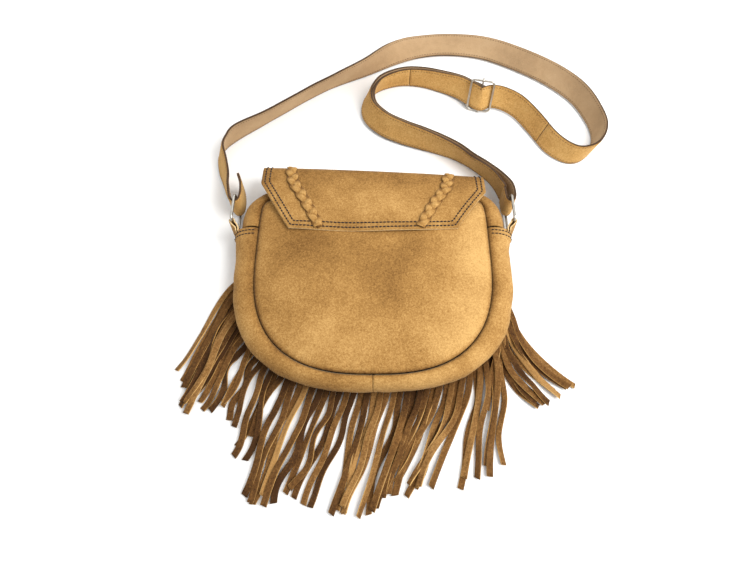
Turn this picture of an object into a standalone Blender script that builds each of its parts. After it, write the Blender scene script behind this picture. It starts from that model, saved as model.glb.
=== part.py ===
"""Fringed suede crossbody bag, lying on its front with the strap laid out behind it.

Lengths are millimetres until a mesh is made. +Z is the outward normal of the back
panel, +Y runs from the bag's bottom to its flap fold, and z = 0 is the surface that
the front of the flap rests on. The origin is on that face, at the bag's mid-width.
"""

import math
import random

import bmesh
import bpy
from mathutils import Vector

MM = 0.001
GAP = 0.35

# Body
SEAM_HALF_WIDTH = 117.0
SEAM_DEPTH = 121.0
BULGE_HALF_WIDTH = 139.5
BULGE_DEPTH = 133.0
PANEL_INSET = 1.5
OUTLINE_CENTRE_Y = 20.0
OUTLINE_POWER = 2.65
GUSSET_TOP_Y = 56.0
BACK_SEAM_Z = 34.0
FRONT_SEAM_Z = 6.0
BACK_CROWN = 10.5
FRONT_PANEL_Z = 4.0
SUEDE = 1.2
PANEL = 1.4

# Top of the body, right half: where the zip strips start on the seams, and their crest
TOP_SEAM = [(117, 57.5), (116.5, 72), (114.5, 84), (108, 89.5), (90, 91), (50, 92), (0, 92)]
TOP_CREST = [(137, 59), (136.5, 74), (131, 90), (116, 104), (94, 109), (50, 109), (0, 109)]

# Flap: half-width of its rear edge and of the fold, and the front's outline
FLAP_THICKNESS = 1.6
FLAP_REAR_HALF_WIDTH = 85.0
FLAP_FOLD_HALF_WIDTH = 118.0
FLAP_FRONT_HALF_WIDTH = 125.0
FLAP_FRONT_DEPTH = 118.0
LINING_INSET = 13.0
FLAP_REAR_Y = 48.0
FLAP_KINK_Y = 101.0
FLAP_ROLL_Y = 116.0
FLAP_ROLL_REACH = 16.0
FLAP_TOP_Z = 47.5
FOLD_SLOPE = -0.055

# Braids: where each starts at the fold and ends at the rear edge, as shares of the
# flap's width and of its length from the rear edge
BRAIDS = (
    ("braid_left", (0.125, 0.33), (0.19, 0.03)),
    ("braid_right", (0.845, 0.33), (0.775, 0.03)),
)
BRAID_WIDTH = 12.0
BRAID_THICKNESS = 3.0
BRAID_GAP = 0.7

# Fringe
STRANDS = 66
STRAND_WIDTH = 5.7
STRAND_THICKNESS = 1.0
STRAND_STEPS = 6
HEADER_DEPTH = 10.0
HEADER_Z = 1.9
LEVEL_STEP = 1.4

# Rings, tabs and strap
RING_X = 145.5
RING_Y = (64.0, 95.0)
RING_Z = (3.5, 37.5)
WIRE_RADIUS = 1.5
TAB_WIDTH = 26.0
TAB_THICKNESS = 1.3
STRAP_WIDTH = 28.0
PLY = 1.2
PLY_GAP = 0.3
LAYER_PITCH = 3.6

# Strap route, left ring to slider to right ring: x, y and height of the strap's lower
# edge, and the lean of its width from upright in degrees, positive to the left of travel
STRAP_ROUTE = [
    (-146.5, 126, 5, 0), (-142.5, 114, 6.5, 0), (-140.8, 101, 6.5, 0), (-142.4, 91.5, 6.5, 0),
    (-147.2, 89.3, 6.5, 0), (-151.6, 93.5, 6.5, 0), (-156, 104, 6, -4), (-162, 116, 4, -12),
    (-168, 131, 1.5, -20), (-176, 152, 0.8, -25), (-179, 172, 0.8, -20), (-173, 188, 0.8, -14),
    (-160, 202, 0.8, -6), (-133, 224, 0.8, -14), (-106, 246, 0.8, -16), (-78, 268, 0.8, -16),
    (-48, 288, 0.8, -14), (-8, 308, 0.8, 2), (30, 327, 0.8, 34), (62, 339, 0.8, 60),
    (96, 343, 0.8, 64), (138, 337, 0.8, 56), (177, 318, 0.8, 46), (215, 292, 0.8, 40),
    (243, 262, 0.8, 30), (257, 229, 0.8, 22), (260, 203, 0.8, 20), (251, 180, 0.8, 14),
    (235, 167, 0.8, 0), (218, 169, 0.8, -12), (201, 184, 0.8, -20), (186, 212, 0.8, -22),
    (171, 236, 1.2, -22), (156, 247.4, 2.2, -22), (142.5, 250.2, 3.2, -22),
    (128.6, 245.1, 3.6, -22), (115.3, 255.3, 3.3, -22), (103, 267.5, 2.4, -16), (84, 279, 1.2, -6),
    (58, 289, 0.8, 2), (32, 290, 0.8, 8), (5, 279, 0.8, 16), (-9, 257, 0.8, 22),
    (-8, 232, 0.8, 26), (9, 211, 0.8, 26), (33, 198, 0.8, 20), (56, 190, 0.8, 12),
    (78, 183, 0.8, 2), (98, 174, 0.8, -6), (116, 161, 0.8, -12), (131, 144, 2.5, -8),
    (142, 127, 5, -4), (148.5, 112, 6.5, 0), (150.4, 99, 6.5, 0), (148.6, 91.4, 6.5, 0),
    (144.6, 89.4, 6.5, 0), (141, 92.6, 6.5, 0), (140.2, 106, 6.5, 0),
]
ROUTE_STEPS = 2
SLIDER_AT = 35
RING_TURN_AT = 52
LONG_END = 30.5
MIDDLE_END = 39.5

# Slider
SLIDER_X = 128.0
SLIDER_Y = 247.5
SLIDER_LENGTH = 27.0
SLIDER_HEIGHT = 38.2
SLIDER_FOOT = 1.7
SLIDER_LEAN = 22.0
SLIDER_WIRE = 1.3

# Zip
ZIP_SLIDER_X = 50.0
ZIP_SLIDER_SIZE = (10.0, 2.4, 8.0)
PULL_SIZE = (20.0, 1.2, 6.0)

BAND_STEPS = 32


def make_material(name, colour, roughness, metallic=0.0):
    """A Principled material of one colour."""
    material = bpy.data.materials.new(name)
    material.use_nodes = True
    shader = material.node_tree.nodes["Principled BSDF"]
    shader.inputs["Base Color"].default_value = (*colour, 1.0)
    shader.inputs["Roughness"].default_value = roughness
    shader.inputs["Metallic"].default_value = metallic
    return material


def add_object(name, mesh_builder, material):
    """A linked object that holds the bmesh, with outward normals and its material."""
    mesh = bpy.data.meshes.new(name)
    mesh_builder.to_mesh(mesh)
    mesh_builder.free()
    mesh.materials.append(material)
    built = bpy.data.objects.new(name, mesh)
    bpy.context.scene.collection.objects.link(built)
    return built


def add_thickness(built, thickness, side=-1.0):
    """Gives a sheet its thickness: side -1 grows behind its faces, 1 in front, 0 both."""
    wall = built.modifiers.new("thickness", "SOLIDIFY")
    wall.thickness = thickness * MM
    wall.offset = side


def sheet(name, columns, rows, place, material, thickness, side=-1.0, closed=False):
    """A grid whose points go where place(u, v) says, with u and v from 0 to 1."""
    grid = bmesh.new()
    bmesh.ops.create_grid(grid, x_segments=columns, y_segments=rows, size=0.5)
    for vertex in grid.verts:
        u = vertex.co.x + 0.5
        v = vertex.co.y + 0.5
        vertex.co = Vector(place(u, v)) * MM
    if closed:
        bmesh.ops.remove_doubles(grid, verts=grid.verts, dist=1e-6)
    built = add_object(name, grid, material)
    add_thickness(built, thickness, side)
    return built


def mix(start, end, share):
    """The value that share of the way from start to end gives."""
    return start + (end - start) * share


def smooth(value):
    """A step from 0 to 1 that starts and ends level."""
    value = min(1.0, max(0.0, value))
    return value * value * (3 - 2 * value)


def spline_point(points, place):
    """The point of a Catmull-Rom curve through the points, at a fractional index."""
    index = min(int(place), len(points) - 2)
    share = place - index
    before = points[max(index - 1, 0)]
    start = points[index]
    end = points[index + 1]
    after = points[min(index + 2, len(points) - 1)]
    result = []
    for p0, p1, p2, p3 in zip(before, start, end, after):
        slope = (p2 - p0) * share
        bend = (2 * p0 - 5 * p1 + 4 * p2 - p3) * share**2
        twist = (3 * p1 - p0 - 3 * p2 + p3) * share**3
        result.append(0.5 * (2 * p1 + slope + bend + twist))
    return result


def lower_curve(angle, half_width, depth):
    """The rounded bottom of the bag: angle runs from 0 at its right to pi at its left."""
    power = 2 / OUTLINE_POWER
    x = math.copysign(abs(math.cos(angle)) ** power, math.cos(angle)) * half_width
    y = OUTLINE_CENTRE_Y - abs(math.sin(angle)) ** power * depth
    return x, y


def evenly_along(points, share):
    """The point a share of the way along a run of points."""
    lengths = [math.dist(a, b) for a, b in zip(points, points[1:])]
    left = share * sum(lengths)
    for (start, end), length in zip(zip(points, points[1:]), lengths):
        if left <= length:
            return tuple(mix(a, b, left / length) for a, b in zip(start, end))
        left -= length
    return points[-1]


def u_outline(half_width, depth, top_y, steps=160):
    """Points of a U from its right end, round the bottom, to its left end."""
    curve = [lower_curve(math.pi * i / steps, half_width, depth) for i in range(steps + 1)]
    return [(half_width, top_y)] + curve + [(-half_width, top_y)]


SEAM_U = u_outline(SEAM_HALF_WIDTH, SEAM_DEPTH, GUSSET_TOP_Y)
BULGE_U = u_outline(BULGE_HALF_WIDTH, BULGE_DEPTH, GUSSET_TOP_Y)
FLAP_U = u_outline(FLAP_FRONT_HALF_WIDTH, FLAP_FRONT_DEPTH, 26.0)


def band_point(seam, bulge, angle):
    """A point of the gusset's section: angle 0 at the back seam, pi at the front one."""
    reach = math.sin(angle) ** 0.8 if 0 < angle < math.pi else 0.0
    middle = (BACK_SEAM_Z + FRONT_SEAM_Z) / 2
    half = (BACK_SEAM_Z - FRONT_SEAM_Z) / 2
    x = mix(seam[0], bulge[0], reach)
    y = mix(seam[1], bulge[1], reach)
    return x, y, middle + half * math.cos(angle)


def gusset_point(share, angle):
    """A point of the gusset; its top ends flare a little, over the ring tabs."""
    seam = evenly_along(SEAM_U, share)
    bulge = evenly_along(BULGE_U, share)
    flare = 3.5 * smooth((bulge[1] - 28.0) / 26.0)
    bulge = (bulge[0] + math.copysign(flare, bulge[0]), bulge[1])
    return band_point(seam, bulge, angle)


def top_point(share, angle):
    """A point of the band over the shoulders and the top, share 0 at the right end."""
    place = abs(1 - 2 * share)
    last = len(TOP_SEAM) - 1
    seam = spline_point(TOP_SEAM, (1 - place) * last)
    bulge = spline_point(TOP_CREST, (1 - place) * last)
    side = 1 if share < 0.5 else -1
    return band_point((side * seam[0], seam[1]), (side * bulge[0], bulge[1]), angle)


def panel_outline():
    """The closed outline of both panels, as (angle, radius) about the origin."""
    top = [top_point(i / 60, 0.0)[:2] for i in range(61)]
    ring = top + SEAM_U[::-1]
    polar = sorted((math.atan2(y, x), math.hypot(x, y)) for x, y in ring)
    first, last = polar[0], polar[-1]
    turn = 2 * math.pi
    return [(last[0] - turn, last[1])] + polar + [(first[0] + turn, first[1])]


PANEL_OUTLINE = panel_outline()


def outline_radius(angle):
    """How far the panels' outline is from the origin in a direction."""
    for (start, near), (end, far) in zip(PANEL_OUTLINE, PANEL_OUTLINE[1:]):
        if start <= angle <= end:
            share = (angle - start) / (end - start) if end > start else 0.0
            return mix(near, far, share)
    return PANEL_OUTLINE[-1][1]


def panel_point(u, v, inset, base, crown):
    """A point of a crowned panel that fills the outline, less the inset."""
    across = 2 * u - 1
    up = 2 * v - 1
    size = max(abs(across), abs(up))
    if size < 1e-9:
        return 0.0, 0.0, base + crown
    angle = math.atan2(up, across)
    radius = (outline_radius(angle) - inset) * size
    return math.cos(angle) * radius, math.sin(angle) * radius, base + crown * (1 - size**3.2)


def back_z(x, y):
    """The height of the back panel's outer face."""
    size = min(1.0, math.hypot(x, y) / outline_radius(math.atan2(y, x)))
    return BACK_SEAM_Z + PANEL / 2 + BACK_CROWN * (1 - size**3.2)


def flap_profile(share):
    """Y and Z of the flap's outer face at mid-width: 0 at the rear edge, 1 at the front."""
    flat_end = 0.3
    roll_end = 0.5
    crown_z = FLAP_TOP_Z - 7.0
    if share <= flat_end:
        along = share / flat_end
        return mix(FLAP_REAR_Y, FLAP_ROLL_Y, along), mix(FLAP_TOP_Z, crown_z, along**2)
    if share <= roll_end:
        turn = math.pi * (share - flat_end) / (roll_end - flat_end)
        half = crown_z / 2
        return FLAP_ROLL_Y + FLAP_ROLL_REACH * math.sin(turn), half + half * math.cos(turn)
    along = (share - roll_end) / (1 - roll_end)
    bottom = OUTLINE_CENTRE_Y - FLAP_FRONT_DEPTH * 0.99
    return mix(FLAP_ROLL_Y, bottom, along), 0.0


def flap_half_width(y, share):
    """The flap's half-width at a station."""
    if share <= 0.3:
        along = (y - FLAP_REAR_Y) / (FLAP_KINK_Y - FLAP_REAR_Y)
        return mix(FLAP_REAR_HALF_WIDTH, FLAP_FOLD_HALF_WIDTH, min(1.0, along))
    if y >= OUTLINE_CENTRE_Y:
        along = smooth((FLAP_ROLL_Y - y) / 70.0) if share > 0.5 else 0.0
        return mix(FLAP_FOLD_HALF_WIDTH, FLAP_FRONT_HALF_WIDTH, along)
    drop = (OUTLINE_CENTRE_Y - y) / FLAP_FRONT_DEPTH
    return FLAP_FRONT_HALF_WIDTH * (1 - drop**OUTLINE_POWER) ** (1 / OUTLINE_POWER)


def flap_point(u, v):
    """A point of the flap's outer face."""
    y, z = flap_profile(v)
    across = 2 * u - 1
    x = across * flap_half_width(y, v)
    tilt = smooth(v / 0.3) if v < 0.5 else 1 - smooth((v - 0.5) / 0.2)
    if v < 0.5:
        droop = 3.0 * abs(across) ** 2 * (1 - smooth((v - 0.3) / 0.2))
        z = max(z - droop, 0.0)
    rear_curve = -5.0 * (1 - across**2) * (1 - smooth(v / 0.15))
    return x, y + FOLD_SLOPE * x * tilt + rear_curve, z


def build_panels(materials):
    """The two suede panels, front and back."""
    suede = materials["suede"]
    sheet(
        "back_panel", 12, 12,
        lambda u, v: panel_point(u, v, PANEL_INSET, BACK_SEAM_Z + PANEL / 2, BACK_CROWN),
        suede, PANEL,
    )
    sheet(
        "front_panel", 10, 10,
        lambda u, v: panel_point(u, v, PANEL_INSET, FRONT_PANEL_Z + PANEL, 0.0),
        suede, PANEL,
    )


def build_gussets(materials):
    """The side and bottom band, in two pieces that meet at the bottom."""
    for name, start, end in (("gusset_right", 0.0, 0.499), ("gusset_left", 0.501, 1.0)):
        sheet(
            name, BAND_STEPS // 2, 6,
            lambda u, v, a=start, b=end: gusset_point(mix(a, b, u), math.pi * v),
            materials["suede"], SUEDE, side=-1.0,
        )


def build_zip(materials):
    """The strips over the shoulders and the top, the zip between them, and its slider."""
    bands = (
        ("zip_strip_back", 0.0, 0.375, 4, "suede", SUEDE),
        ("zip_tape_back", 0.383, 0.494, 1, "tape", 0.8),
        ("zip_tape_front", 0.506, 0.617, 1, "tape", 0.8),
        ("zip_strip_front", 0.625, 1.0, 4, "suede", SUEDE),
    )
    for name, start, end, rows, finish, thickness in bands:
        sheet(
            name, BAND_STEPS, rows,
            lambda u, v, a=start, b=end: top_point(u, math.pi * mix(a, b, v)),
            materials[finish], thickness, side=1.0,
        )
    build_coils(materials)
    build_zip_slider(materials)


def build_coils(materials):
    """The zip's two rows of teeth, along the straight of the crest."""
    crest_y = TOP_CREST[-1][1]
    middle = (BACK_SEAM_Z + FRONT_SEAM_Z) / 2
    for name, side in (("zip_coil_back", 1), ("zip_coil_front", -1)):
        row = bmesh.new()
        bmesh.ops.create_cube(row, size=1.0)
        for vertex in row.verts:
            x = vertex.co.x * 176.0
            y = crest_y + GAP + 0.7 + vertex.co.y * 1.2
            z = middle + side * 1.15 + vertex.co.z * 1.6
            vertex.co = Vector((x, y, z)) * MM
        add_object(name, row, materials["tape"])


def build_box(name, centre, size, material, bevel):
    """A block with rounded edges."""
    block = bmesh.new()
    bmesh.ops.create_cube(block, size=1.0)
    for vertex in block.verts:
        vertex.co = Vector([c * s * MM for c, s in zip(vertex.co, size)])
    bmesh.ops.bevel(
        block, geom=block.edges[:], offset=bevel * MM, segments=1, affect="EDGES", profile=0.5
    )
    built = add_object(name, block, material)
    built.location = Vector(centre) * MM
    return built


def build_zip_slider(materials):
    """The zip's slider over the teeth, and its pull, hinged at the slider's end."""
    crest_y = TOP_CREST[-1][1]
    middle = (BACK_SEAM_Z + FRONT_SEAM_Z) / 2
    slider_y = crest_y + 2.0 + ZIP_SLIDER_SIZE[1] / 2
    pull_y = slider_y + ZIP_SLIDER_SIZE[1] / 2 + GAP + PULL_SIZE[1] / 2
    build_box(
        "zip_slider", (ZIP_SLIDER_X, slider_y, middle), ZIP_SLIDER_SIZE, materials["dark_metal"], 0.6
    )
    pull = build_box("zip_pull", (0, 0, 0), PULL_SIZE, materials["dark_metal"], 0.4)
    for vertex in pull.data.vertices:
        vertex.co.x -= (PULL_SIZE[0] / 2 - 0.8) * MM
    pull.location = Vector((ZIP_SLIDER_X + 3.0, pull_y, middle)) * MM


def build_lining(materials):
    """The black pouch inside, closed at the bottom and open at the top."""
    low, high = 8.2, 32.0

    def place(u, v):
        turn = 2 * math.pi * u
        y = mix(86.0, OUTLINE_CENTRE_Y - SEAM_DEPTH + 6.0, smooth(v) if v > 0.5 else v)
        drop = max(0.0, (OUTLINE_CENTRE_Y - y) / (SEAM_DEPTH - 4.0))
        width = (SEAM_HALF_WIDTH - 6.0) * (1 - drop**OUTLINE_POWER) ** (1 / OUTLINE_POWER)
        flat = 0.35
        x = math.copysign(abs(math.cos(turn)) ** flat, math.cos(turn)) * width
        tall = math.copysign(abs(math.sin(turn)) ** flat, math.sin(turn)) * (high - low) / 2
        closing = 1 - 0.75 * smooth((v - 0.82) / 0.18)
        return x, y, (low + high) / 2 + tall * closing

    pouch = bmesh.new()
    bmesh.ops.create_grid(pouch, x_segments=24, y_segments=8, size=0.5)
    for vertex in pouch.verts:
        vertex.co = Vector(place(vertex.co.x + 0.5, vertex.co.y + 0.5)) * MM
    bmesh.ops.remove_doubles(pouch, verts=pouch.verts, dist=1e-6)
    mouth_y = max(vertex.co.y for vertex in pouch.verts)
    bottom = [
        edge for edge in pouch.edges
        if edge.is_boundary and edge.verts[0].co.y < mouth_y - 0.01
    ]
    bmesh.ops.contextual_create(pouch, geom=bottom)
    bmesh.ops.recalc_face_normals(pouch, faces=pouch.faces)
    built = add_object("lining", pouch, materials["lining"])
    add_thickness(built, 0.6, -1.0)


def build_flap(materials):
    """The folded flap, the lining of its front, and the plaited thongs on its rear."""
    sheet("flap", 20, 40, flap_point, materials["suede"], FLAP_THICKNESS)

    half_width = FLAP_FRONT_HALF_WIDTH - LINING_INSET
    depth = FLAP_FRONT_DEPTH - LINING_INSET

    def lining_place(u, v):
        y = mix(96.0, OUTLINE_CENTRE_Y - depth * 0.985, v)
        drop = max(0.0, OUTLINE_CENTRE_Y - y) / depth
        width = half_width * (1 - drop**OUTLINE_POWER) ** (1 / OUTLINE_POWER)
        width = min(width, FLAP_FOLD_HALF_WIDTH - 10.0) if y > 60 else width
        return (2 * u - 1) * width, y, FLAP_THICKNESS + GAP

    sheet("flap_lining", 12, 14, lining_place, materials["lining"], 0.8)
    for name, top, bottom in BRAIDS:
        sheet(
            name, 2, 14,
            lambda u, v, a=top, b=bottom: braid_point(u, v, a, b),
            materials["suede"], BRAID_THICKNESS, side=1.0,
        )


def braid_point(u, v, top, bottom):
    """A point of a braid's underside, which follows the flap's outer face."""
    across = mix(bottom[0], top[0], v) + (u - 0.5) * BRAID_WIDTH / (2 * FLAP_FOLD_HALF_WIDTH)
    station = mix(bottom[1], top[1], v)
    here = Vector(flap_point(across, station))
    right = Vector(flap_point(across + 0.01, station)) - here
    up = Vector(flap_point(across, station + 0.01)) - here
    return here + right.cross(up).normalized() * BRAID_GAP


# The fringe's tufts from the left: strands, first tip, last tip, and where it bends if it does
FRINGE_TUFTS = [
    (7, (-184, -92), (-172, -132), None), (5, (-168, -108), (-150, -124), None),
    (4, (-144, -119), (-128, -138), None), (4, (-127, -172), (-112, -150), None),
    (6, (-114, -199), (-84, -204), None), (5, (-76, -200), (-54, -205), None),
    (6, (-38, -210), (-12, -213), None), (4, (-6, -209), (8, -208), None),
    (5, (14, -192), (30, -196), None), (3, (34, -200), (48, -198), None),
    (2, (72, -195), (79, -191), None), (4, (92, -180), (112, -177), None),
    (1, (102, -125), (102, -125), None), (10, (153, -122), (188, -96), ((112, -88), (132, -62))),
]


def strand_ends(index):
    """Where a strand's tip lies, and its tuft's bend there if it has one."""
    for count, first, last, bend in FRINGE_TUFTS:
        if index < count:
            share = index / max(1, count - 1)
            tip = mix(Vector(first), Vector(last), share)
            return tip, bend and mix(Vector(bend[0]), Vector(bend[1]), share)
        index -= count
    raise ValueError("more strands than the tufts hold")


def strand_course(index, draw):
    """The route of a strand in plan, as points from the header outwards."""
    share = (index + 0.5) / STRANDS
    base = evenly_along(FLAP_U, 1 - share)
    ahead = evenly_along(FLAP_U, 1 - min(1.0, share + 0.004))
    behind = evenly_along(FLAP_U, 1 - max(0.0, share - 0.004))
    along = Vector((ahead[0] - behind[0], ahead[1] - behind[1])).normalized()
    outward = Vector((along.y, -along.x))
    tip, bend = strand_ends(index)
    tip += Vector((draw.uniform(-0.8, 0.8), draw.uniform(-4, 4)))
    start = Vector(base)
    reach = (tip - start).length
    heading = (outward + (tip - start).normalized() * 1.3).normalized()
    first = start + heading * reach * 0.33
    second = mix(start, tip, 0.66) + Vector((draw.uniform(-1, 1), draw.uniform(-1, 1)))
    if bend:
        first, second = mix(start, bend, 0.45) + outward * 12, bend
    course = []
    for step in range(61):
        t = step / 60
        point = start * (1 - t) ** 3 + first * 3 * t * (1 - t) ** 2
        point += second * 3 * t * t * (1 - t) + tip * t**3
        course.append((point.x, point.y))
    return course


def build_fringe(materials):
    """One strip of suede: a header under the flap's edge, cut into strands."""
    draw = random.Random(7)
    comb = bmesh.new()
    outer = []
    inner = []
    for edge_index in range(2 * STRANDS):
        strand, side = divmod(edge_index, 2)
        half_cut = 0.06 if side == 0 else -0.06
        share = 1 - (strand + side + half_cut) / STRANDS
        x, y = evenly_along(FLAP_U, min(1.0, max(0.0, share)))
        inward = Vector((-x, -y + 8)).normalized() * HEADER_DEPTH
        outer.append(comb.verts.new(Vector((x, y, HEADER_Z)) * MM))
        inner.append(comb.verts.new(Vector((x + inward.x, y + inward.y, HEADER_Z)) * MM))
    for i in range(2 * STRANDS - 1):
        comb.faces.new((outer[i], outer[i + 1], inner[i + 1], inner[i]))
    for strand in range(STRANDS):
        course = strand_course(strand, draw)
        add_strand(comb, strand, course, outer[2 * strand], outer[2 * strand + 1], draw)
    bmesh.ops.recalc_face_normals(comb, faces=comb.faces)
    for face in comb.faces:
        if face.normal.z < 0:
            bmesh.ops.reverse_faces(comb, faces=comb.faces)
        break
    built = add_object("fringe", comb, materials["suede"])
    add_thickness(built, STRAND_THICKNESS, 1.0)


def add_strand(comb, index, course, left, right, draw):
    """Adds one strand to the strip, from the two header points it hangs on."""
    full = sum(math.dist(a, b) for a, b in zip(course, course[1:]))
    length = full + draw.uniform(-5, 0)
    level = GAP + LEVEL_STEP * (index % 4)
    previous = (left, right)
    for step in range(1, STRAND_STEPS + 1):
        distance = length * step / STRAND_STEPS
        share = min(1.0, distance / full)
        x, y = evenly_along(course, share)
        ahead = evenly_along(course, min(1.0, share + 0.02))
        behind = evenly_along(course, max(0.0, share - 0.02))
        heading = Vector((ahead[0] - behind[0], ahead[1] - behind[1])).normalized()
        z = mix(HEADER_Z, level, smooth(distance / 18.0))
        side = Vector((heading.y, -heading.x)) * STRAND_WIDTH / 2
        a = comb.verts.new(Vector((x + side.x, y + side.y, z)) * MM)
        b = comb.verts.new(Vector((x - side.x, y - side.y, z)) * MM)
        comb.faces.new((previous[0], previous[1], b, a))
        previous = (a, b)


def build_ring(name, side, materials):
    """A rectangular wire ring; its origin is on the bar that the tab holds."""
    corners = [
        (0.0, RING_Z[0]), (0.0, RING_Z[1]),
        (RING_Y[1] - RING_Y[0], RING_Z[1]), (RING_Y[1] - RING_Y[0], RING_Z[0]),
    ]
    radius = 4.0
    points = []
    for index, (y, z) in enumerate(corners):
        before = Vector(corners[index - 1]) - Vector((y, z))
        after = Vector(corners[(index + 1) % 4]) - Vector((y, z))
        start = Vector((y, z)) + before.normalized() * radius
        end = Vector((y, z)) + after.normalized() * radius
        centre = start + after.normalized() * radius
        for step in range(4):
            turn = math.pi / 2 * step / 3
            spoke_a = (start - centre) * math.cos(turn)
            spoke_b = (end - centre) * math.sin(turn)
            points.append(centre + spoke_a + spoke_b)
    curve = bpy.data.curves.new(name, "CURVE")
    curve.dimensions = "3D"
    curve.bevel_depth = WIRE_RADIUS * MM
    curve.bevel_resolution = 2
    spline = curve.splines.new("POLY")
    spline.points.add(len(points) - 1)
    spline.use_cyclic_u = True
    for target, point in zip(spline.points, points):
        target.co = (0.0, point.x * MM, point.y * MM, 1.0)
    curve.materials.append(materials["metal"])
    ring = bpy.data.objects.new(name, curve)
    bpy.context.scene.collection.objects.link(ring)
    ring.location = Vector((side * RING_X, RING_Y[0], 0.0)) * MM


def build_tab(name, side, materials):
    """The suede loop round a ring's bar, sewn inside the gusset's end."""
    bar = Vector((RING_X, RING_Y[0]))
    radius = WIRE_RADIUS + 0.4 + TAB_THICKNESS / 2
    loop = [(138.9, 57.0), (140.6, 60.5)]
    for step in range(9):
        turn = math.radians(200 - 220 * step / 8)
        loop.append((bar.x + radius * math.cos(turn), bar.y + radius * math.sin(turn)))
    loop += [(145.4, 60.0), (141.6, 57.0)]
    low = (RING_Z[0] + RING_Z[1] - TAB_WIDTH) / 2

    def place(u, v):
        x, y = loop[round(u * (len(loop) - 1))]
        return side * x, y, low + v * TAB_WIDTH

    sheet(name, len(loop) - 1, 1, place, materials["suede"], TAB_THICKNESS, side=0.0)


def strap_frame(place):
    """The strap's lower edge, its left-hand normal and its width's direction."""
    x, y, z, lean = spline_point(STRAP_ROUTE, place)
    ahead = spline_point(STRAP_ROUTE, min(place + 0.05, len(STRAP_ROUTE) - 1.0001))
    behind = spline_point(STRAP_ROUTE, max(place - 0.05, 0.0))
    travel = Vector((ahead[0] - behind[0], ahead[1] - behind[1], 0.0)).normalized()
    left = Vector((-travel.y, travel.x, 0.0))
    angle = math.radians(lean)
    width = left * math.sin(angle) + Vector((0, 0, 1)) * math.cos(angle)
    normal = left * math.cos(angle) - Vector((0, 0, 1)) * math.sin(angle)
    z += 1.5 * abs(math.sin(angle))
    return Vector((x, y, z)), normal, width


def return_offset(place):
    """How far the returning layer lies from the first: wider at the ring and slider."""
    at_ring = 4.6 * smooth((place - RING_TURN_AT + 2.0) / 2.0)
    at_slider = 4.0 * smooth((SLIDER_AT + 1.6 - place) / 1.2)
    return -(LAYER_PITCH + at_ring + at_slider)


def strap_ply(name, start, end, shift, material, offset=None):
    """One ply of the strap between two places on its route, set off to one side."""
    count = max(2, round(abs(end - start) * ROUTE_STEPS))

    def place(u, v):
        at = mix(start, end, u)
        edge, normal, width = strap_frame(at)
        aside = shift + (offset(at) if offset else 0.0)
        return edge + normal * aside + width * (v * STRAP_WIDTH)

    sheet(name, count, 1, place, material, PLY, side=0.0)


def build_strap(materials):
    """The strap's three lengths, each of a suede face and a backing."""
    shift = (PLY + PLY_GAP) / 2
    lengths = (
        ("strap_long", 0.0, LONG_END - 0.03),
        ("strap_middle", LONG_END + 0.03, MIDDLE_END - 0.03),
        ("strap_ring_end", MIDDLE_END + 0.03, len(STRAP_ROUTE) - 1.001),
    )
    for name, start, end in lengths:
        strap_ply(name + "_face", start, end, shift, materials["suede"])
        strap_ply(name + "_backing", start, end, -shift, materials["backing"])
    span = (SLIDER_AT + 0.1, RING_TURN_AT + 0.1)
    strap_ply("strap_return_face", *span, -shift, materials["suede"], return_offset)
    strap_ply("strap_return_backing", *span, shift, materials["backing"], return_offset)


def build_slider(materials):
    """The strap's adjuster: a rounded wire frame and its centre bar."""
    half = SLIDER_LENGTH / 2
    radius = 4.0
    corners = [
        (-half, SLIDER_FOOT), (half, SLIDER_FOOT), (half, SLIDER_HEIGHT), (-half, SLIDER_HEIGHT),
    ]
    points = []
    for index, corner in enumerate(corners):
        before = (Vector(corners[index - 1]) - Vector(corner)).normalized()
        after = (Vector(corners[(index + 1) % 4]) - Vector(corner)).normalized()
        centre = Vector(corner) + (before + after) * radius
        for step in range(4):
            turn = math.pi / 2 * step / 3
            points.append(centre - after * radius * math.cos(turn) - before * radius * math.sin(turn))
    lean = math.radians(SLIDER_LEAN)
    travel = Vector((-0.98, 0.2, 0.0)).normalized()
    right = Vector((travel.y, -travel.x, 0.0))
    up = right * math.sin(lean) + Vector((0, 0, 1)) * math.cos(lean)
    foot = Vector((SLIDER_X, SLIDER_Y, 0.0))
    wires = (
        ("slider_frame", [foot + travel * p.x + up * p.y for p in points], True),
        ("slider_bar", [foot + up * (SLIDER_FOOT + 2.9), foot + up * (SLIDER_HEIGHT - 2.9)], False),
    )
    for name, route, cyclic in wires:
        curve = bpy.data.curves.new(name, "CURVE")
        curve.dimensions = "3D"
        curve.bevel_depth = SLIDER_WIRE * MM
        curve.bevel_resolution = 2
        curve.use_fill_caps = True
        spline = curve.splines.new("POLY")
        spline.points.add(len(route) - 1)
        spline.use_cyclic_u = cyclic
        for target, point in zip(spline.points, route):
            target.co = (*(point * MM), 1.0)
        curve.materials.append(materials["metal"])
        wire = bpy.data.objects.new(name, curve)
        bpy.context.scene.collection.objects.link(wire)


def build_snap(materials):
    """The magnetic snap between the flap's front and the front panel."""
    for name, z, height in (("snap_socket", 3.1, 0.6), ("snap_stud", 5.75, 1.0)):
        disc = bmesh.new()
        bmesh.ops.create_cone(
            disc, cap_ends=True, segments=20, radius1=7 * MM, radius2=7 * MM, depth=height * MM
        )
        built = add_object(name, disc, materials["dark_metal"])
        built.location = Vector((0.0, -60.0, z + height / 2)) * MM


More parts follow.
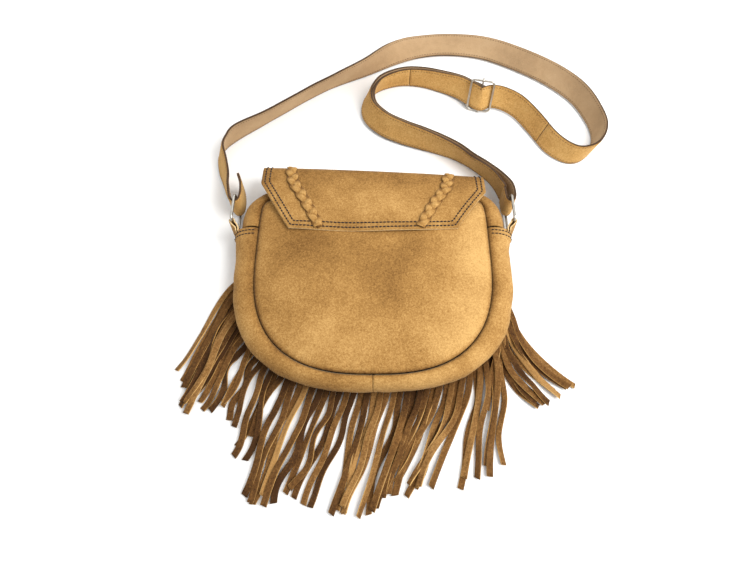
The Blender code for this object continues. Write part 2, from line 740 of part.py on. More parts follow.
def main():
    """Clears the scene and builds the bag."""
    for old in list(bpy.data.objects):
        bpy.data.objects.remove(old)
    materials = {
        "suede": make_material("suede", (0.46, 0.28, 0.09), 0.95),
        "backing": make_material("backing", (0.5, 0.34, 0.19), 0.9),
        "lining": make_material("lining", (0.015, 0.014, 0.013), 0.8),
        "tape": make_material("tape", (0.012, 0.012, 0.012), 0.7),
        "metal": make_material("metal", (0.62, 0.59, 0.53), 0.3, 1.0),
        "dark_metal": make_material("dark_metal", (0.25, 0.22, 0.18), 0.35, 1.0),
    }
    build_panels(materials)
    build_gussets(materials)
    build_zip(materials)
    build_lining(materials)
    build_flap(materials)
    build_fringe(materials)
    for name, side in (("left", -1), ("right", 1)):
        build_ring("ring_" + name, side, materials)
        build_tab("tab_" + name, side, materials)
    build_strap(materials)
    build_slider(materials)
    build_snap(materials)


main()
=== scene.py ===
"""Looks of the fringed suede bag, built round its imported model.

The bag lies on its front: +Z is out of the back panel, +Y runs from the bottom to the
flap's fold. Shapes are worked out in millimetres and stored in metres.
"""

import logging
import math
import random
from collections.abc import Callable, Sequence
from dataclasses import dataclass, field
from enum import Enum

import bmesh
import bpy
from mathutils import Matrix, Vector, noise


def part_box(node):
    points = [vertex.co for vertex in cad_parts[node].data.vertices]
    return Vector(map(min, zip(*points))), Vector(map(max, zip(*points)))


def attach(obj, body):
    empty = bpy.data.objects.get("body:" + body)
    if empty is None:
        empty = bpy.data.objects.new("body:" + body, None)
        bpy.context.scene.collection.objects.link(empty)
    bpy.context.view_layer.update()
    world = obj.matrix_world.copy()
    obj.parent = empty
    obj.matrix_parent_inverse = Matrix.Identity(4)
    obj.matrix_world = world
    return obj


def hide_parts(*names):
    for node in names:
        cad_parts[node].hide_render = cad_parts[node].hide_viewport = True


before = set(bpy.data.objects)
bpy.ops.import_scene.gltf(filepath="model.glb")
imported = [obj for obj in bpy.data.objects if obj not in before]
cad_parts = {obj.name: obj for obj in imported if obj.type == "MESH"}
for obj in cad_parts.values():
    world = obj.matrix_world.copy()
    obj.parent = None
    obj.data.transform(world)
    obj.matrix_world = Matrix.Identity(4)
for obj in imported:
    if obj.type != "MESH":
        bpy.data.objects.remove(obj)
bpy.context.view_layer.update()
LOG = logging.getLogger("suede_bag")
MM = 0.001
# The vertex attribute into which each piece paints light and shade, with some random tone; the
# suede finishes add it to their colour.
SHADE = "shade"
Place = Callable[[float, float], Vector]


class Slot(Enum):
    """The record's material slots."""

    SUEDE = "suede"
    FRINGE = "fringe_suede"
    BRAID = "braid_suede"
    STRAP = "strap_suede"
    BACKING = "strap_backing"
    LINING = "lining"
    ZIP = "zip"
    NICKEL = "nickel"
    DARK_METAL = "dark_metal"


class Body(Enum):
    """The bodies that pieces ride on."""

    BAG = "bag"
    RING_LEFT = "ring_left"
    RING_RIGHT = "ring_right"
    ZIP_SLIDER = "zip_slider"
    ZIP_PULL = "zip_pull"


# ---------------------------------------------------------------- small maths


def mix(start: float, end: float, share: float) -> float:
    """The value a share of the way from start to end."""
    return start + (end - start) * share


def smooth(value: float) -> float:
    """A step from 0 to 1 that starts and ends level."""
    value = min(1.0, max(0.0, value))
    return value * value * (3 - 2 * value)


def bump_at(value: float, centre: float, width: float) -> float:
    """A rounded bump of height 1 about a centre."""
    return math.exp(-(((value - centre) / width) ** 2))


def spline_point(points: Sequence[Sequence[float]], place: float) -> list[float]:
    """The point of a Catmull-Rom curve through points, at a fractional index.

    Args:
        points: the curve's own points.
        place: the fractional index along them.

    Returns:
        The point, with as many values as each of the points.
    """
    index = max(0, min(int(place), len(points) - 2))
    share = place - index
    before = points[max(index - 1, 0)]
    after = points[min(index + 2, len(points) - 1)]
    result = []
    for p0, p1, p2, p3 in zip(before, points[index], points[index + 1], after):
        slope = (p2 - p0) * share
        bend = (2 * p0 - 5 * p1 + 4 * p2 - p3) * share**2
        twist = (3 * p1 - p0 - 3 * p2 + p3) * share**3
        result.append(0.5 * (2 * p1 + slope + bend + twist))
    return result


def resampled(points: Sequence[Vector], count: int) -> list[Vector]:
    """Evenly spaced points along a run of points.

    Args:
        points: the run's own points.
        count: how many points to return, at least two.

    Returns:
        The points, from the run's first to its last.
    """
    lengths = [(b - a).length for a, b in zip(points, points[1:])]
    total = sum(lengths)
    result = []
    index = 0
    passed = 0.0
    for step in range(count):
        target = total * step / (count - 1)
        while index < len(lengths) - 1 and passed + lengths[index] < target:
            passed += lengths[index]
            index += 1
        share = (target - passed) / lengths[index] if lengths[index] else 0.0
        result.append(points[index].lerp(points[index + 1], min(1.0, share)))
    return result


def ripple(x: float, y: float, scale: float, seed: float) -> float:
    """Soft seeded unevenness, about -1 to 1, with features of the scale in millimetres."""
    return noise.noise(Vector((x / scale, y / scale, seed)))


# ---------------------------------------------------------------- finishes


class Nodes:
    """A material's node tree, with short ways to add to it."""

    def __init__(self, name: str) -> None:
        """Starts a material with a Principled shader."""
        self.material = bpy.data.materials.new(name)
        self.material.use_nodes = True
        self.tree = self.material.node_tree
        self.shader = self.tree.nodes["Principled BSDF"]
        self.coords = self.tree.nodes.new("ShaderNodeTexCoord").outputs["Object"]

    def noise(self, scale: float, detail: float, roughness: float = 0.5) -> bpy.types.NodeSocket:
        """A noise on object coordinates; scale is in features per metre."""
        node = self.tree.nodes.new("ShaderNodeTexNoise")
        node.inputs["Scale"].default_value = scale
        node.inputs["Detail"].default_value = detail
        node.inputs["Roughness"].default_value = roughness
        self.tree.links.new(self.coords, node.inputs["Vector"])
        return node.outputs["Fac"]

    def maths(self, operation: str, first: object, second: object) -> bpy.types.NodeSocket:
        """A Math node; either value may be a socket or a number."""
        node = self.tree.nodes.new("ShaderNodeMath")
        node.operation = operation
        for socket, value in zip(node.inputs, (first, second)):
            if isinstance(value, bpy.types.NodeSocket):
                self.tree.links.new(value, socket)
            else:
                socket.default_value = value
        return node.outputs[0]

    def attribute(self, name: str) -> bpy.types.NodeSocket:
        """A mesh attribute's value."""
        node = self.tree.nodes.new("ShaderNodeAttribute")
        node.attribute_name = name
        return node.outputs["Fac"]

    def ramp(self, value: object, stops: Sequence[tuple[float, tuple]]) -> bpy.types.NodeSocket:
        """A colour ramp over a value.

        Args:
            value: the socket to read.
            stops: the places and colours, in order.

        Returns:
            The ramp's colour.
        """
        node = self.tree.nodes.new("ShaderNodeValToRGB")
        elements = node.color_ramp.elements
        while len(elements) < len(stops):
            elements.new(0.5)
        for element, (place, colour) in zip(elements, stops):
            element.position = place
            element.color = (*colour, 1.0)
        self.tree.links.new(value, node.inputs["Fac"])
        return node.outputs["Color"]

    def bump(self, layers: Sequence[tuple[object, float]], strength: float = 1.0) -> None:
        """Stacks bumps on the shader, each a height and its depth in metres."""
        last = None
        for height, depth in layers:
            node = self.tree.nodes.new("ShaderNodeBump")
            node.inputs["Strength"].default_value = strength
            node.inputs["Distance"].default_value = depth
            self.tree.links.new(height, node.inputs["Height"])
            if last:
                self.tree.links.new(last, node.inputs["Normal"])
            last = node.outputs["Normal"]
        self.tree.links.new(last, self.shader.inputs["Normal"])

    def set(self, **values: object) -> None:
        """Sets constants on the shader's own sockets; underscores stand for spaces."""
        for name, value in values.items():
            self.shader.inputs[name.replace("_", " ")].default_value = value

    def link(self, socket: bpy.types.NodeSocket, name: str) -> None:
        """Links a socket to one of the shader's inputs."""
        self.tree.links.new(socket, self.shader.inputs[name])


@dataclass(frozen=True)
class Suede:
    """Napped leather: three tones, clouding, mottling, a fine nap, and painted light and shade from
    the shade attribute.
    """

    name: str
    dark: tuple
    middle: tuple
    pale: tuple
    clouding: float = 0.4
    mottling: float = 0.3
    nap: float = 0.9
    sheen: float = 0.12

    def material(self) -> bpy.types.Material:
        """Builds the finish."""
        nodes = Nodes(self.name)
        clouds = nodes.noise(17.0, 3.0)
        mottle = nodes.noise(120.0, 5.0, 0.65)
        nap = nodes.noise(1500.0, 3.0, 0.7)
        fibre = nodes.noise(520.0, 4.0, 0.7)
        tone = nodes.maths("MULTIPLY", clouds, self.clouding)
        tone = nodes.maths("ADD", tone, nodes.maths("MULTIPLY", mottle, self.mottling))
        tone = nodes.maths("ADD", tone, nodes.maths("MULTIPLY", nap, self.nap))
        tone = nodes.maths("ADD", tone, nodes.maths("MULTIPLY", fibre, self.nap))
        weight = self.clouding + self.mottling + self.nap * 2
        tone = nodes.maths("SUBTRACT", tone, weight * 0.5 - 0.5)
        # Painted light and shade: the shade attribute lightens or darkens the colour, piece by
        # piece.
        shade = nodes.maths("SUBTRACT", nodes.attribute(SHADE), 0.5)
        tone = nodes.maths("ADD", tone, shade)
        stops = ((0.12, self.dark), (0.5, self.middle), (0.88, self.pale))
        nodes.link(nodes.ramp(tone, stops), "Base Color")
        nodes.set(Roughness=0.92, Sheen_Weight=self.sheen, Sheen_Roughness=0.4)
        nodes.set(Sheen_Tint=(1.0, 0.86, 0.62, 1.0), Specular_IOR_Level=0.15)
        nodes.bump(((mottle, 0.0006), (fibre, 0.0004), (nap, 0.00022)), 0.7)
        return nodes.material


@dataclass(frozen=True)
class Metal:
    """Satin metal with fine rubbing marks."""

    name: str
    colour: tuple
    roughness: float

    def material(self) -> bpy.types.Material:
        """Builds the finish."""
        nodes = Nodes(self.name)
        rub = nodes.noise(900.0, 4.0, 0.6)
        cloud = nodes.noise(160.0, 3.0)
        dull = tuple(0.72 * part for part in self.colour)
        nodes.link(nodes.ramp(cloud, ((0.3, dull), (0.6, self.colour))), "Base Color")
        spread = nodes.maths("MULTIPLY_ADD", rub, 0.25)
        spread.node.inputs[2].default_value = self.roughness - 0.1
        nodes.link(spread, "Roughness")
        nodes.set(Metallic=1.0)
        nodes.bump(((rub, 0.00004),), 0.6)
        return nodes.material


@dataclass(frozen=True)
class Cloth:
    """Woven cloth or sewing thread: a tight cross weave in two tones."""

    name: str
    dark: tuple
    pale: tuple
    threads_per_metre: float = 2200.0

    def material(self) -> bpy.types.Material:
        """Builds the finish."""
        nodes = Nodes(self.name)
        waves = []
        for direction in ("X", "Y"):
            wave = nodes.tree.nodes.new("ShaderNodeTexWave")
            wave.bands_direction = direction
            wave.inputs["Scale"].default_value = self.threads_per_metre / (2 * math.pi)
            wave.inputs["Distortion"].default_value = 0.6
            nodes.tree.links.new(nodes.coords, wave.inputs["Vector"])
            waves.append(wave.outputs["Fac"])
        weave = nodes.maths("MULTIPLY", *waves)
        worn = nodes.maths("ADD", weave, nodes.noise(240.0, 4.0, 0.6))
        stops = ((0.45, self.dark), (1.1 / 1.2, self.pale))
        nodes.link(nodes.ramp(worn, stops), "Base Color")
        nodes.set(Roughness=0.85, Specular_IOR_Level=0.25, Sheen_Weight=0.15)
        nodes.bump(((weave, 0.00015),), 0.8)
        return nodes.material


@dataclass(frozen=True)
class Finishes:
    """Every finish of the bag, built once."""

    suede: bpy.types.Material
    raw_edge: bpy.types.Material
    fringe: bpy.types.Material
    fringe_edge: bpy.types.Material
    braid: bpy.types.Material
    strap: bpy.types.Material
    backing: bpy.types.Material
    strap_edge: bpy.types.Material
    thread: bpy.types.Material
    strap_thread: bpy.types.Material
    lining: bpy.types.Material
    tape: bpy.types.Material
    teeth: bpy.types.Material
    nickel: bpy.types.Material
    dark_metal: bpy.types.Material


def build_finishes() -> Finishes:
    """Builds the bag's finishes.

    Returns:
        The finishes, named for their use.
    """
    tan = ((0.14, 0.062, 0.014), (0.335, 0.174, 0.048), (0.56, 0.335, 0.118))
    brown = ((0.045, 0.018, 0.005), (0.15, 0.068, 0.018), (0.36, 0.195, 0.064))
    gold = ((0.27, 0.135, 0.035), (0.52, 0.295, 0.092), (0.68, 0.44, 0.17))
    flesh = ((0.22, 0.14, 0.075), (0.41, 0.27, 0.145), (0.54, 0.38, 0.225))
    edge = ((0.45, 0.29, 0.12), (0.66, 0.46, 0.22), (0.8, 0.6, 0.34))
    burnished = ((0.05, 0.027, 0.015), (0.115, 0.067, 0.038), (0.22, 0.14, 0.085))
    return Finishes(
        suede=Suede("tan_suede", *tan).material(),
        raw_edge=Suede("raw_edge", *edge, clouding=0.2).material(),
        fringe=Suede("fringe_suede", *brown, clouding=0.35, sheen=0.15).material(),
        fringe_edge=Suede("fringe_edge", *gold, clouding=0.2).material(),
        braid=Suede("braid_suede", *tan, clouding=0.3).material(),
        strap=Suede("strap_suede", *gold, clouding=0.4).material(),
        backing=Suede("strap_backing", *flesh, clouding=0.45, nap=0.2).material(),
        strap_edge=Suede("strap_edge", *burnished, clouding=0.3).material(),
        thread=Cloth("brown_thread", (0.007, 0.003, 0.004), (0.022, 0.01, 0.01)).material(),
        strap_thread=Cloth("tan_thread", (0.05, 0.024, 0.011), (0.12, 0.06, 0.028)).material(),
        lining=Cloth("black_lining", (0.006, 0.006, 0.006), (0.03, 0.029, 0.028)).material(),
        tape=Cloth("zip_tape", (0.005, 0.005, 0.005), (0.025, 0.025, 0.026)).material(),
        teeth=Metal("zip_teeth", (0.03, 0.03, 0.03), 0.45).material(),
        nickel=Metal("satin_nickel", (0.55, 0.52, 0.46), 0.3).material(),
        dark_metal=Metal("antique_metal", (0.22, 0.19, 0.15), 0.38).material(),
    )


# ---------------------------------------------------------------- meshes and pieces


def sheet_mesh(columns: int, rows: int, place: Place, closed: bool = False) -> bmesh.types.BMesh:
    """A grid whose points go where place says.

    Args:
        columns: divisions along u.
        rows: divisions along v.
        place: gives a point in millimetres for u and v from 0 to 1.
        closed: whether the grid's sides meet and are joined.

    Returns:
        The mesh, in metres.
    """
    grid = bmesh.new()
    add_sheet(grid, columns, rows, place)
    if closed:
        bmesh.ops.remove_doubles(grid, verts=grid.verts, dist=1e-6)
    return grid


def add_sheet(target: bmesh.types.BMesh, columns: int, rows: int, place: Place) -> list:
    """Adds a grid to a mesh, and returns its vertices with the values they came from."""
    made = bmesh.ops.create_grid(target, x_segments=columns, y_segments=rows, size=0.5)
    added = []
    for vertex in made["verts"]:
        u = vertex.co.x + 0.5
        v = vertex.co.y + 0.5
        vertex.co = place(u, v) * MM
        added.append((vertex, u, v))
    return added


def add_capsule(target: bmesh.types.BMesh, start: Vector, end: Vector, radius: float) -> None:
    """Adds a small rounded bar between two points, in millimetres."""
    axis = end - start
    if axis.length < 1e-4:
        return
    turn = axis.to_track_quat("Z", "Y").to_matrix().to_4x4()
    size = Matrix.Diagonal((radius * MM, radius * MM, (axis.length / 2 + radius * 0.5) * MM, 1))
    middle = Matrix.Translation((start + end) / 2 * MM)
    bmesh.ops.create_icosphere(target, subdivisions=1, radius=1.0, matrix=middle @ turn @ size)


def add_tube(
    target: bmesh.types.BMesh, path: Sequence[Vector], radius: float, sides: int, cyclic: bool
) -> None:
    """Adds a round wire along a path.

    Args:
        target: the mesh to add to.
        path: the wire's centre, in millimetres.
        radius: the wire's radius, in millimetres.
        sides: how many sides its section has.
        cyclic: whether it closes on itself; an open one gets flat caps.
    """
    count = len(path)
    rings = []
    side = None
    for index, point in enumerate(path):
        ahead = path[(index + 1) % count] if cyclic or index < count - 1 else point
        behind = path[index - 1] if cyclic or index > 0 else point
        along = (ahead - behind).normalized()
        if side is None:
            side = along.orthogonal().normalized()
        side = (side - along * side.dot(along)).normalized()
        turn = Matrix((side, along.cross(side), along)).transposed().to_4x4()
        ring = bmesh.ops.create_circle(
            target, segments=sides, radius=radius * MM, matrix=Matrix.Translation(point * MM) @ turn
        )
        rings.append(ring["verts"])
    pairs = list(zip(rings, rings[1:])) + ([(rings[-1], rings[0])] if cyclic else [])
    for first, second in pairs:
        for k in range(sides):
            following = (k + 1) % sides
            target.faces.new((first[k], first[following], second[following], second[k]))
    if not cyclic:
        target.faces.new(rings[0][::-1])
        target.faces.new(rings[-1])


@dataclass
class Look:
    """How a piece is finished and where it belongs."""

    finish: bpy.types.Material
    slot: Slot
    body: Body = Body.BAG
    replaces: tuple[str, ...] = ()
    thickness: float = 0.0
    side: float = -1.0
    rim: bpy.types.Material | None = None
    smoothing: int = 0
    soft_edge: float = 0.0


def make_piece(name: str, mesh_builder: bmesh.types.BMesh, look: Look) -> bpy.types.Object:
    """Turns a mesh into a piece that rides, and stands for its nodes.

    Args:
        name: the piece's name.
        mesh_builder: its shape, in metres; it is freed.
        look: its finish, wall and body.

    Returns:
        The finished piece.
    """
    layer = mesh_builder.verts.layers.float.get(SHADE)
    if layer is None:
        layer = mesh_builder.verts.layers.float.new(SHADE)
        for vertex in mesh_builder.verts:
            vertex[layer] = 0.5
    mesh = bpy.data.meshes.new(name)
    mesh_builder.to_mesh(mesh)
    mesh_builder.free()
    mesh.materials.append(look.finish)
    mesh.shade_smooth()
    piece = bpy.data.objects.new(name, mesh)
    bpy.context.scene.collection.objects.link(piece)
    if look.thickness:
        wall = piece.modifiers.new("wall", "SOLIDIFY")
        wall.thickness = look.thickness * MM
        wall.offset = look.side
        if look.rim:
            mesh.materials.append(look.rim)
            wall.material_offset_rim = 1
    if look.soft_edge:
        edge = piece.modifiers.new("edge", "BEVEL")
        edge.width = look.soft_edge * MM
        edge.segments = 2
        edge.limit_method = "ANGLE"
        edge.angle_limit = math.radians(50)
    if look.smoothing:
        finer = piece.modifiers.new("finer", "SUBSURF")
        finer.levels = look.smoothing
        finer.render_levels = look.smoothing
    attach(piece, look.body.value)
    if look.replaces:
        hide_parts(*look.replaces)
    LOG.info("%s: %d points", name, len(mesh.vertices))
    return piece


@dataclass
class Seam:
    """Rows of sewn stitches, gathered into one piece."""

    stitch: float = 3.0
    space: float = 0.9
    radius: float = 0.36
    mesh: bmesh.types.BMesh = field(default_factory=bmesh.new)

    def sew(self, path: Sequence[Vector], wobble: float = 0.12, seed: int = 1) -> None:
        """Sews a row of stitches along a path, in millimetres, on the surface."""
        draw = random.Random(seed)
        total = sum((b - a).length for a, b in zip(path, path[1:]))
        count = max(1, round(total / (self.stitch + self.space)))
        dense = resampled(path, count * 4 + 1)
        for index in range(count):
            shift = Vector((draw.uniform(-1, 1), draw.uniform(-1, 1), 0)) * wobble
            start = dense[index * 4] + shift
            end = dense[index * 4 + 3] - shift
            add_capsule(self.mesh, start, end, self.radius)


# ---------------------------------------------------------------- the body


@dataclass
class BodyShell:
    """The bag's panels, its gusset and the strips over its shoulders."""

    seam_half_width: float = 117.0
    seam_depth: float = 121.0
    bulge_half_width: float = 139.5
    bulge_depth: float = 133.0
    centre_y: float = 20.0
    power: float = 2.65
    gusset_top_y: float = 56.0
    back_z: float = 34.0
    front_z: float = 6.0
    crown: float = 10.5
    panel_inset: float = 0.3
    wall: float = 1.3
    hem_depth: float = 11.0
    steps: int = 400
    top_seam: tuple = (
        (117, 57.5), (116.5, 72), (114.5, 84), (108, 89.5), (90, 91), (50, 92), (0, 92),
    )
    top_crest: tuple = (
        (137, 59), (136.5, 74), (131, 90), (116, 104), (94, 109), (50, 109), (0, 109),
    )

    def __post_init__(self) -> None:
        """Works out the outlines that the pieces share."""
        self.seam_u = self.u_outline(self.seam_half_width, self.seam_depth)
        self.bulge_u = self.u_outline(self.bulge_half_width, self.bulge_depth)
        top = [self.top_point(i / 90, 0.0) for i in range(91)]
        ring = [(p.x, p.y) for p in top] + [(p.x, p.y) for p in self.seam_u[::-1]]
        polar = sorted((math.atan2(y, x), math.hypot(x, y)) for x, y in ring)
        turn = 2 * math.pi
        ends = [(polar[-1][0] - turn, polar[-1][1])], [(polar[0][0] + turn, polar[0][1])]
        self.outline = ends[0] + polar + ends[1]

    def lower_curve(self, angle: float, half_width: float, depth: float) -> Vector:
        """A point of the rounded bottom: angle 0 at its right, pi at its left."""
        power = 2 / self.power
        x = math.copysign(abs(math.cos(angle)) ** power, math.cos(angle)) * half_width
        return Vector((x, self.centre_y - abs(math.sin(angle)) ** power * depth, 0))

    def u_outline(self, half_width: float, depth: float, top: float | None = None) -> list[Vector]:
        """Even points of a U, from its right end round the bottom to its left end."""
        top = self.gusset_top_y if top is None else top
        curve = [self.lower_curve(math.pi * i / 240, half_width, depth) for i in range(241)]
        ends = Vector((half_width, top, 0)), Vector((-half_width, top, 0))
        return resampled([ends[0], *curve, ends[1]], self.steps + 1)

    def band_point(self, seam: Vector, bulge: Vector, angle: float) -> Vector:
        """A point of the band's section: angle 0 at the back seam, pi at the front one."""
        reach = max(0.0, math.sin(angle)) ** 0.8
        middle = (self.back_z + self.front_z) / 2
        half = (self.back_z - self.front_z) / 2
        point = seam.lerp(bulge, reach)
        point.z = middle + half * math.cos(angle)
        valley = 2.4 * bump_at(reach, 0.0, 0.13)
        point.z += valley if angle > math.pi / 2 else -valley
        return point

    def top_point(self, share: float, angle: float) -> Vector:
        """A point of the band over the top, share 0 at its right end."""
        place = (1 - abs(1 - 2 * share)) * (len(self.top_seam) - 1)
        side = 1 if share < 0.5 else -1
        seam = spline_point(self.top_seam, place)
        crest = spline_point(self.top_crest, place)
        seam_point = Vector((side * seam[0], seam[1], 0))
        return self.band_point(seam_point, Vector((side * crest[0], crest[1], 0)), angle)

    def gusset_point(self, share: float, angle: float) -> Vector:
        """A point of the gusset, flared and folded double at its top ends."""
        index = min(self.steps - 1, int(share * self.steps))
        part = share * self.steps - index
        seam = self.seam_u[index].lerp(self.seam_u[index + 1], part)
        bulge = self.bulge_u[index].lerp(self.bulge_u[index + 1], part)
        flare = 3.0 * smooth((bulge.y - 28.0) / 26.0)
        hem = smooth((bulge.y - self.gusset_top_y + self.hem_depth) / 1.2)
        bulge.x += math.copysign(flare + 0.8 * hem, bulge.x)
        slack = ripple(bulge.x * 2, bulge.y * 2, 46.0, 3.1) * 1.3
        slack += ripple(bulge.x * 2, bulge.y * 2, 17.0, angle) * 0.35
        point = self.band_point(seam, bulge, angle)
        outward = (bulge - seam).normalized()
        return point + outward * slack * math.sin(angle)

    def outline_radius(self, angle: float) -> float:
        """How far the panels' outline is from the origin in a direction."""
        low, high = 0, len(self.outline) - 1
        while high - low > 1:
            middle = (low + high) // 2
            if self.outline[middle][0] <= angle:
                low = middle
            else:
                high = middle
        (start, near), (end, far) = self.outline[low], self.outline[high]
        return mix(near, far, (angle - start) / (end - start) if end > start else 0.0)

    def panel_point(self, u: float, v: float, base: float, crown: float) -> Vector:
        """A point of a crowned panel, with the slack and puckers of sewn suede."""
        across, up = 2 * u - 1, 2 * v - 1
        size = max(abs(across), abs(up))
        if size < 1e-9:
            return Vector((0, 0, base + crown))
        angle = math.atan2(up, across)
        radius = (self.outline_radius(angle) - self.panel_inset) * size
        x, y = math.cos(angle) * radius, math.sin(angle) * radius
        z = base + crown * (1 - size**3.2)
        if crown:
            loose = 1 - size**4
            z += loose * (1.1 * ripple(x, y, 62.0, 0.7) + 0.35 * ripple(x, y, 21.0, 2.4))
            pucker = bump_at(size, 0.97, 0.035) * 0.28
            z += pucker * math.sin(angle * 70 + 3 * math.sin(angle * 5))
            z -= 1.7 * smooth((size - 0.955) / 0.045)
        return Vector((x, y, z))

    def back_tone_and_painted_light(self, x: float, y: float, size: float) -> float:
        """Lighter and darker areas of the back panel: random clouding, painted light towards the
        right and the bottom, darker patches at the middle and the upper left, and painted shade
        along the seam.
        """
        tone = 0.5 + 0.16 * ripple(x, y, 70.0, 9.0) + 0.12 * ripple(x, y, 30.0, 4.0)
        # Painted light towards the right and the bottom, where the key light falls.
        tone += 0.16 * smooth((x - 10) / 110) + 0.1 * smooth((-y - 20) / 80)
        tone -= 0.16 * math.exp(-(((x + 8) / 55) ** 2) - ((y - 12) / 32) ** 2)
        tone -= 0.14 * math.exp(-(((x + 72) / 30) ** 2) - ((y - 38) / 24) ** 2)
        # Painted shade along the seam at the panel's edge.
        return tone - 0.3 * smooth((size - 0.97) / 0.03)

    def build(self, finishes: Finishes) -> None:
        """Builds every piece of the body."""
        self.build_panels(finishes)
        self.build_gussets(finishes)
        self.build_strips(finishes)
        self.build_pouch(finishes)

    def build_panels(self, finishes: Finishes) -> None:
        """The crowned back panel, and the front panel under the flap."""
        panels = (
            ("back_panel_suede", "back_panel", 120, self.back_z + 0.9, self.crown),
            ("front_panel_suede", "front_panel", 40, 5.4, 0.0),
        )
        for name, node, steps, base, crown in panels:
            mesh = bmesh.new()
            layer = mesh.verts.layers.float.new(SHADE)
            place = lambda u, v, b=base, c=crown: self.panel_point(u, v, b, c)
            for vertex, u, v in add_sheet(mesh, steps, steps, place):
                size = max(abs(2 * u - 1), abs(2 * v - 1))
                vertex[layer] = self.back_tone_and_painted_light(vertex.co.x / MM, vertex.co.y / MM, size)
            look = Look(finishes.suede, Slot.SUEDE, replaces=(node,), thickness=self.wall)
            make_piece(name, mesh, look)

    def build_gussets(self, finishes: Finishes) -> None:
        """The two gusset pieces, the ridge where they join, and the hems' stitches."""
        for side, start, end in (("right", 0.0, 0.4996), ("left", 0.5004, 1.0)):
            mesh = bmesh.new()
            layer = mesh.verts.layers.float.new(SHADE)

            def place(u: float, v: float, a: float = start, b: float = end) -> Vector:
                point = self.gusset_point(mix(a, b, u), math.pi * v)
                join = min(abs(point.x) - 0.35, 3.0)
                if point.y < 0 and join < 3.0:
                    point.z -= 0.5 * bump_at(join, 0.0, 0.7) * math.cos(math.pi * v)
                return point

            for vertex, _, v in add_sheet(mesh, 210, 30, place):
                x, y = vertex.co.x / MM, vertex.co.y / MM
                tone = 0.5 + 0.2 * ripple(x, y, 34.0, 6.0) + 0.1 * ripple(x, y, 15.0, 8.0)
                # Painted shade along both seams, and painted light on the right-hand piece, which
                # faces the key light.
                tone -= 0.22 * bump_at(v, 0.0, 0.07) + 0.2 * bump_at(v, 1.0, 0.2)
                tone += 0.1 if x > 0 else 0.0
                vertex[layer] = tone
            name = f"gusset_{side}"
            look = Look(finishes.suede, Slot.SUEDE, replaces=(name,), thickness=self.wall)
            look.rim = finishes.raw_edge
            make_piece(name + "_suede", mesh, look)
        self.sew_hems(finishes)

    def sew_hems(self, finishes: Finishes) -> None:
        """Two rows of brown stitches across each of the gusset's folded ends."""
        seam = Seam(stitch=3.2, space=0.5, radius=0.64)
        total = sum((b - a).length for a, b in zip(self.bulge_u, self.bulge_u[1:]))
        for depth in (3.6, 8.2):
            for side in (-1, 1):
                share = depth / total if side > 0 else 1 - depth / total
                path = []
                for step in range(31):
                    angle = math.pi * mix(0.03, 0.97, step / 30)
                    point = self.gusset_point(share, angle)
                    lift = Vector((side * math.sin(angle), 0, math.cos(angle))) * 0.35
                    path.append(point + lift)
                seam.sew(path, seed=int(depth * 10) + side)
        make_piece("hem_stitches", seam.mesh, Look(finishes.thread, Slot.SUEDE))

    def build_strips(self, finishes: Finishes) -> None:
        """The suede strips over the shoulders and the top."""
        for name, start, end in (("zip_strip_back", 0.0, 0.39), ("zip_strip_front", 0.61, 1.0)):
            mesh = bmesh.new()
            layer = mesh.verts.layers.float.new(SHADE)

            def place(u: float, v: float, a: float = start, b: float = end) -> Vector:
                angle = math.pi * mix(a, b, v)
                point = self.top_point(u, angle)
                slack = ripple(point.x, point.y, 19.0, 5.5 + a) * 0.9
                fold = 0.8 * bump_at(abs(point.x), 121.0, 3.5) * math.sin(angle)
                point.z += (slack - fold) * math.sin(angle * 1.3) * 0.8
                return point

            for vertex, _, v in add_sheet(mesh, 200, 20, place):
                x, y = vertex.co.x / MM, vertex.co.y / MM
                tone = 0.44 + 0.2 * ripple(x, y, 24.0, 7.0)
                seam_end = v if start == 0.0 else 1 - v
                # Painted shade darkens the strip towards its seam.
                vertex[layer] = tone - 0.22 * bump_at(seam_end, 0.0, 0.12)
            look = Look(finishes.suede, Slot.SUEDE, replaces=(name,), thickness=self.wall)
            look.side = 1.0
            make_piece(name + "_suede", mesh, look)

    def build_pouch(self, finishes: Finishes) -> None:
        """The black pouch inside, open at the top."""
        low, high = 8.2, 32.0

        def place(u: float, v: float) -> Vector:
            turn = 2 * math.pi * u
            y = mix(86.0, self.centre_y - self.seam_depth + 6.0, smooth(v) if v > 0.5 else v)
            drop = max(0.0, (self.centre_y - y) / (self.seam_depth - 4.0))
            width = (self.seam_half_width - 6.0) * (1 - drop**self.power) ** (1 / self.power)
            x = math.copysign(abs(math.cos(turn)) ** 0.35, math.cos(turn)) * width
            tall = math.copysign(abs(math.sin(turn)) ** 0.35, math.sin(turn)) * (high - low) / 2
            closing = 1 - 0.75 * smooth((v - 0.82) / 0.18)
            sag = 0.8 * ripple(x, y, 26.0, 1.5 + math.copysign(2.0, tall))
            return Vector((x, y, (low + high) / 2 + tall * closing + sag * (1 - v)))

        pouch = sheet_mesh(96, 40, place, closed=True)
        mouth = max(vertex.co.y for vertex in pouch.verts) - 0.001
        rim = [e for e in pouch.edges if e.is_boundary and e.verts[0].co.y < mouth - 0.01]
        bmesh.ops.contextual_create(pouch, geom=rim)
        bmesh.ops.recalc_face_normals(pouch, faces=pouch.faces)
        look = Look(finishes.lining, Slot.LINING, replaces=("lining",), thickness=0.6)
        make_piece("lining_pouch", pouch, look)


# ---------------------------------------------------------------- the zip


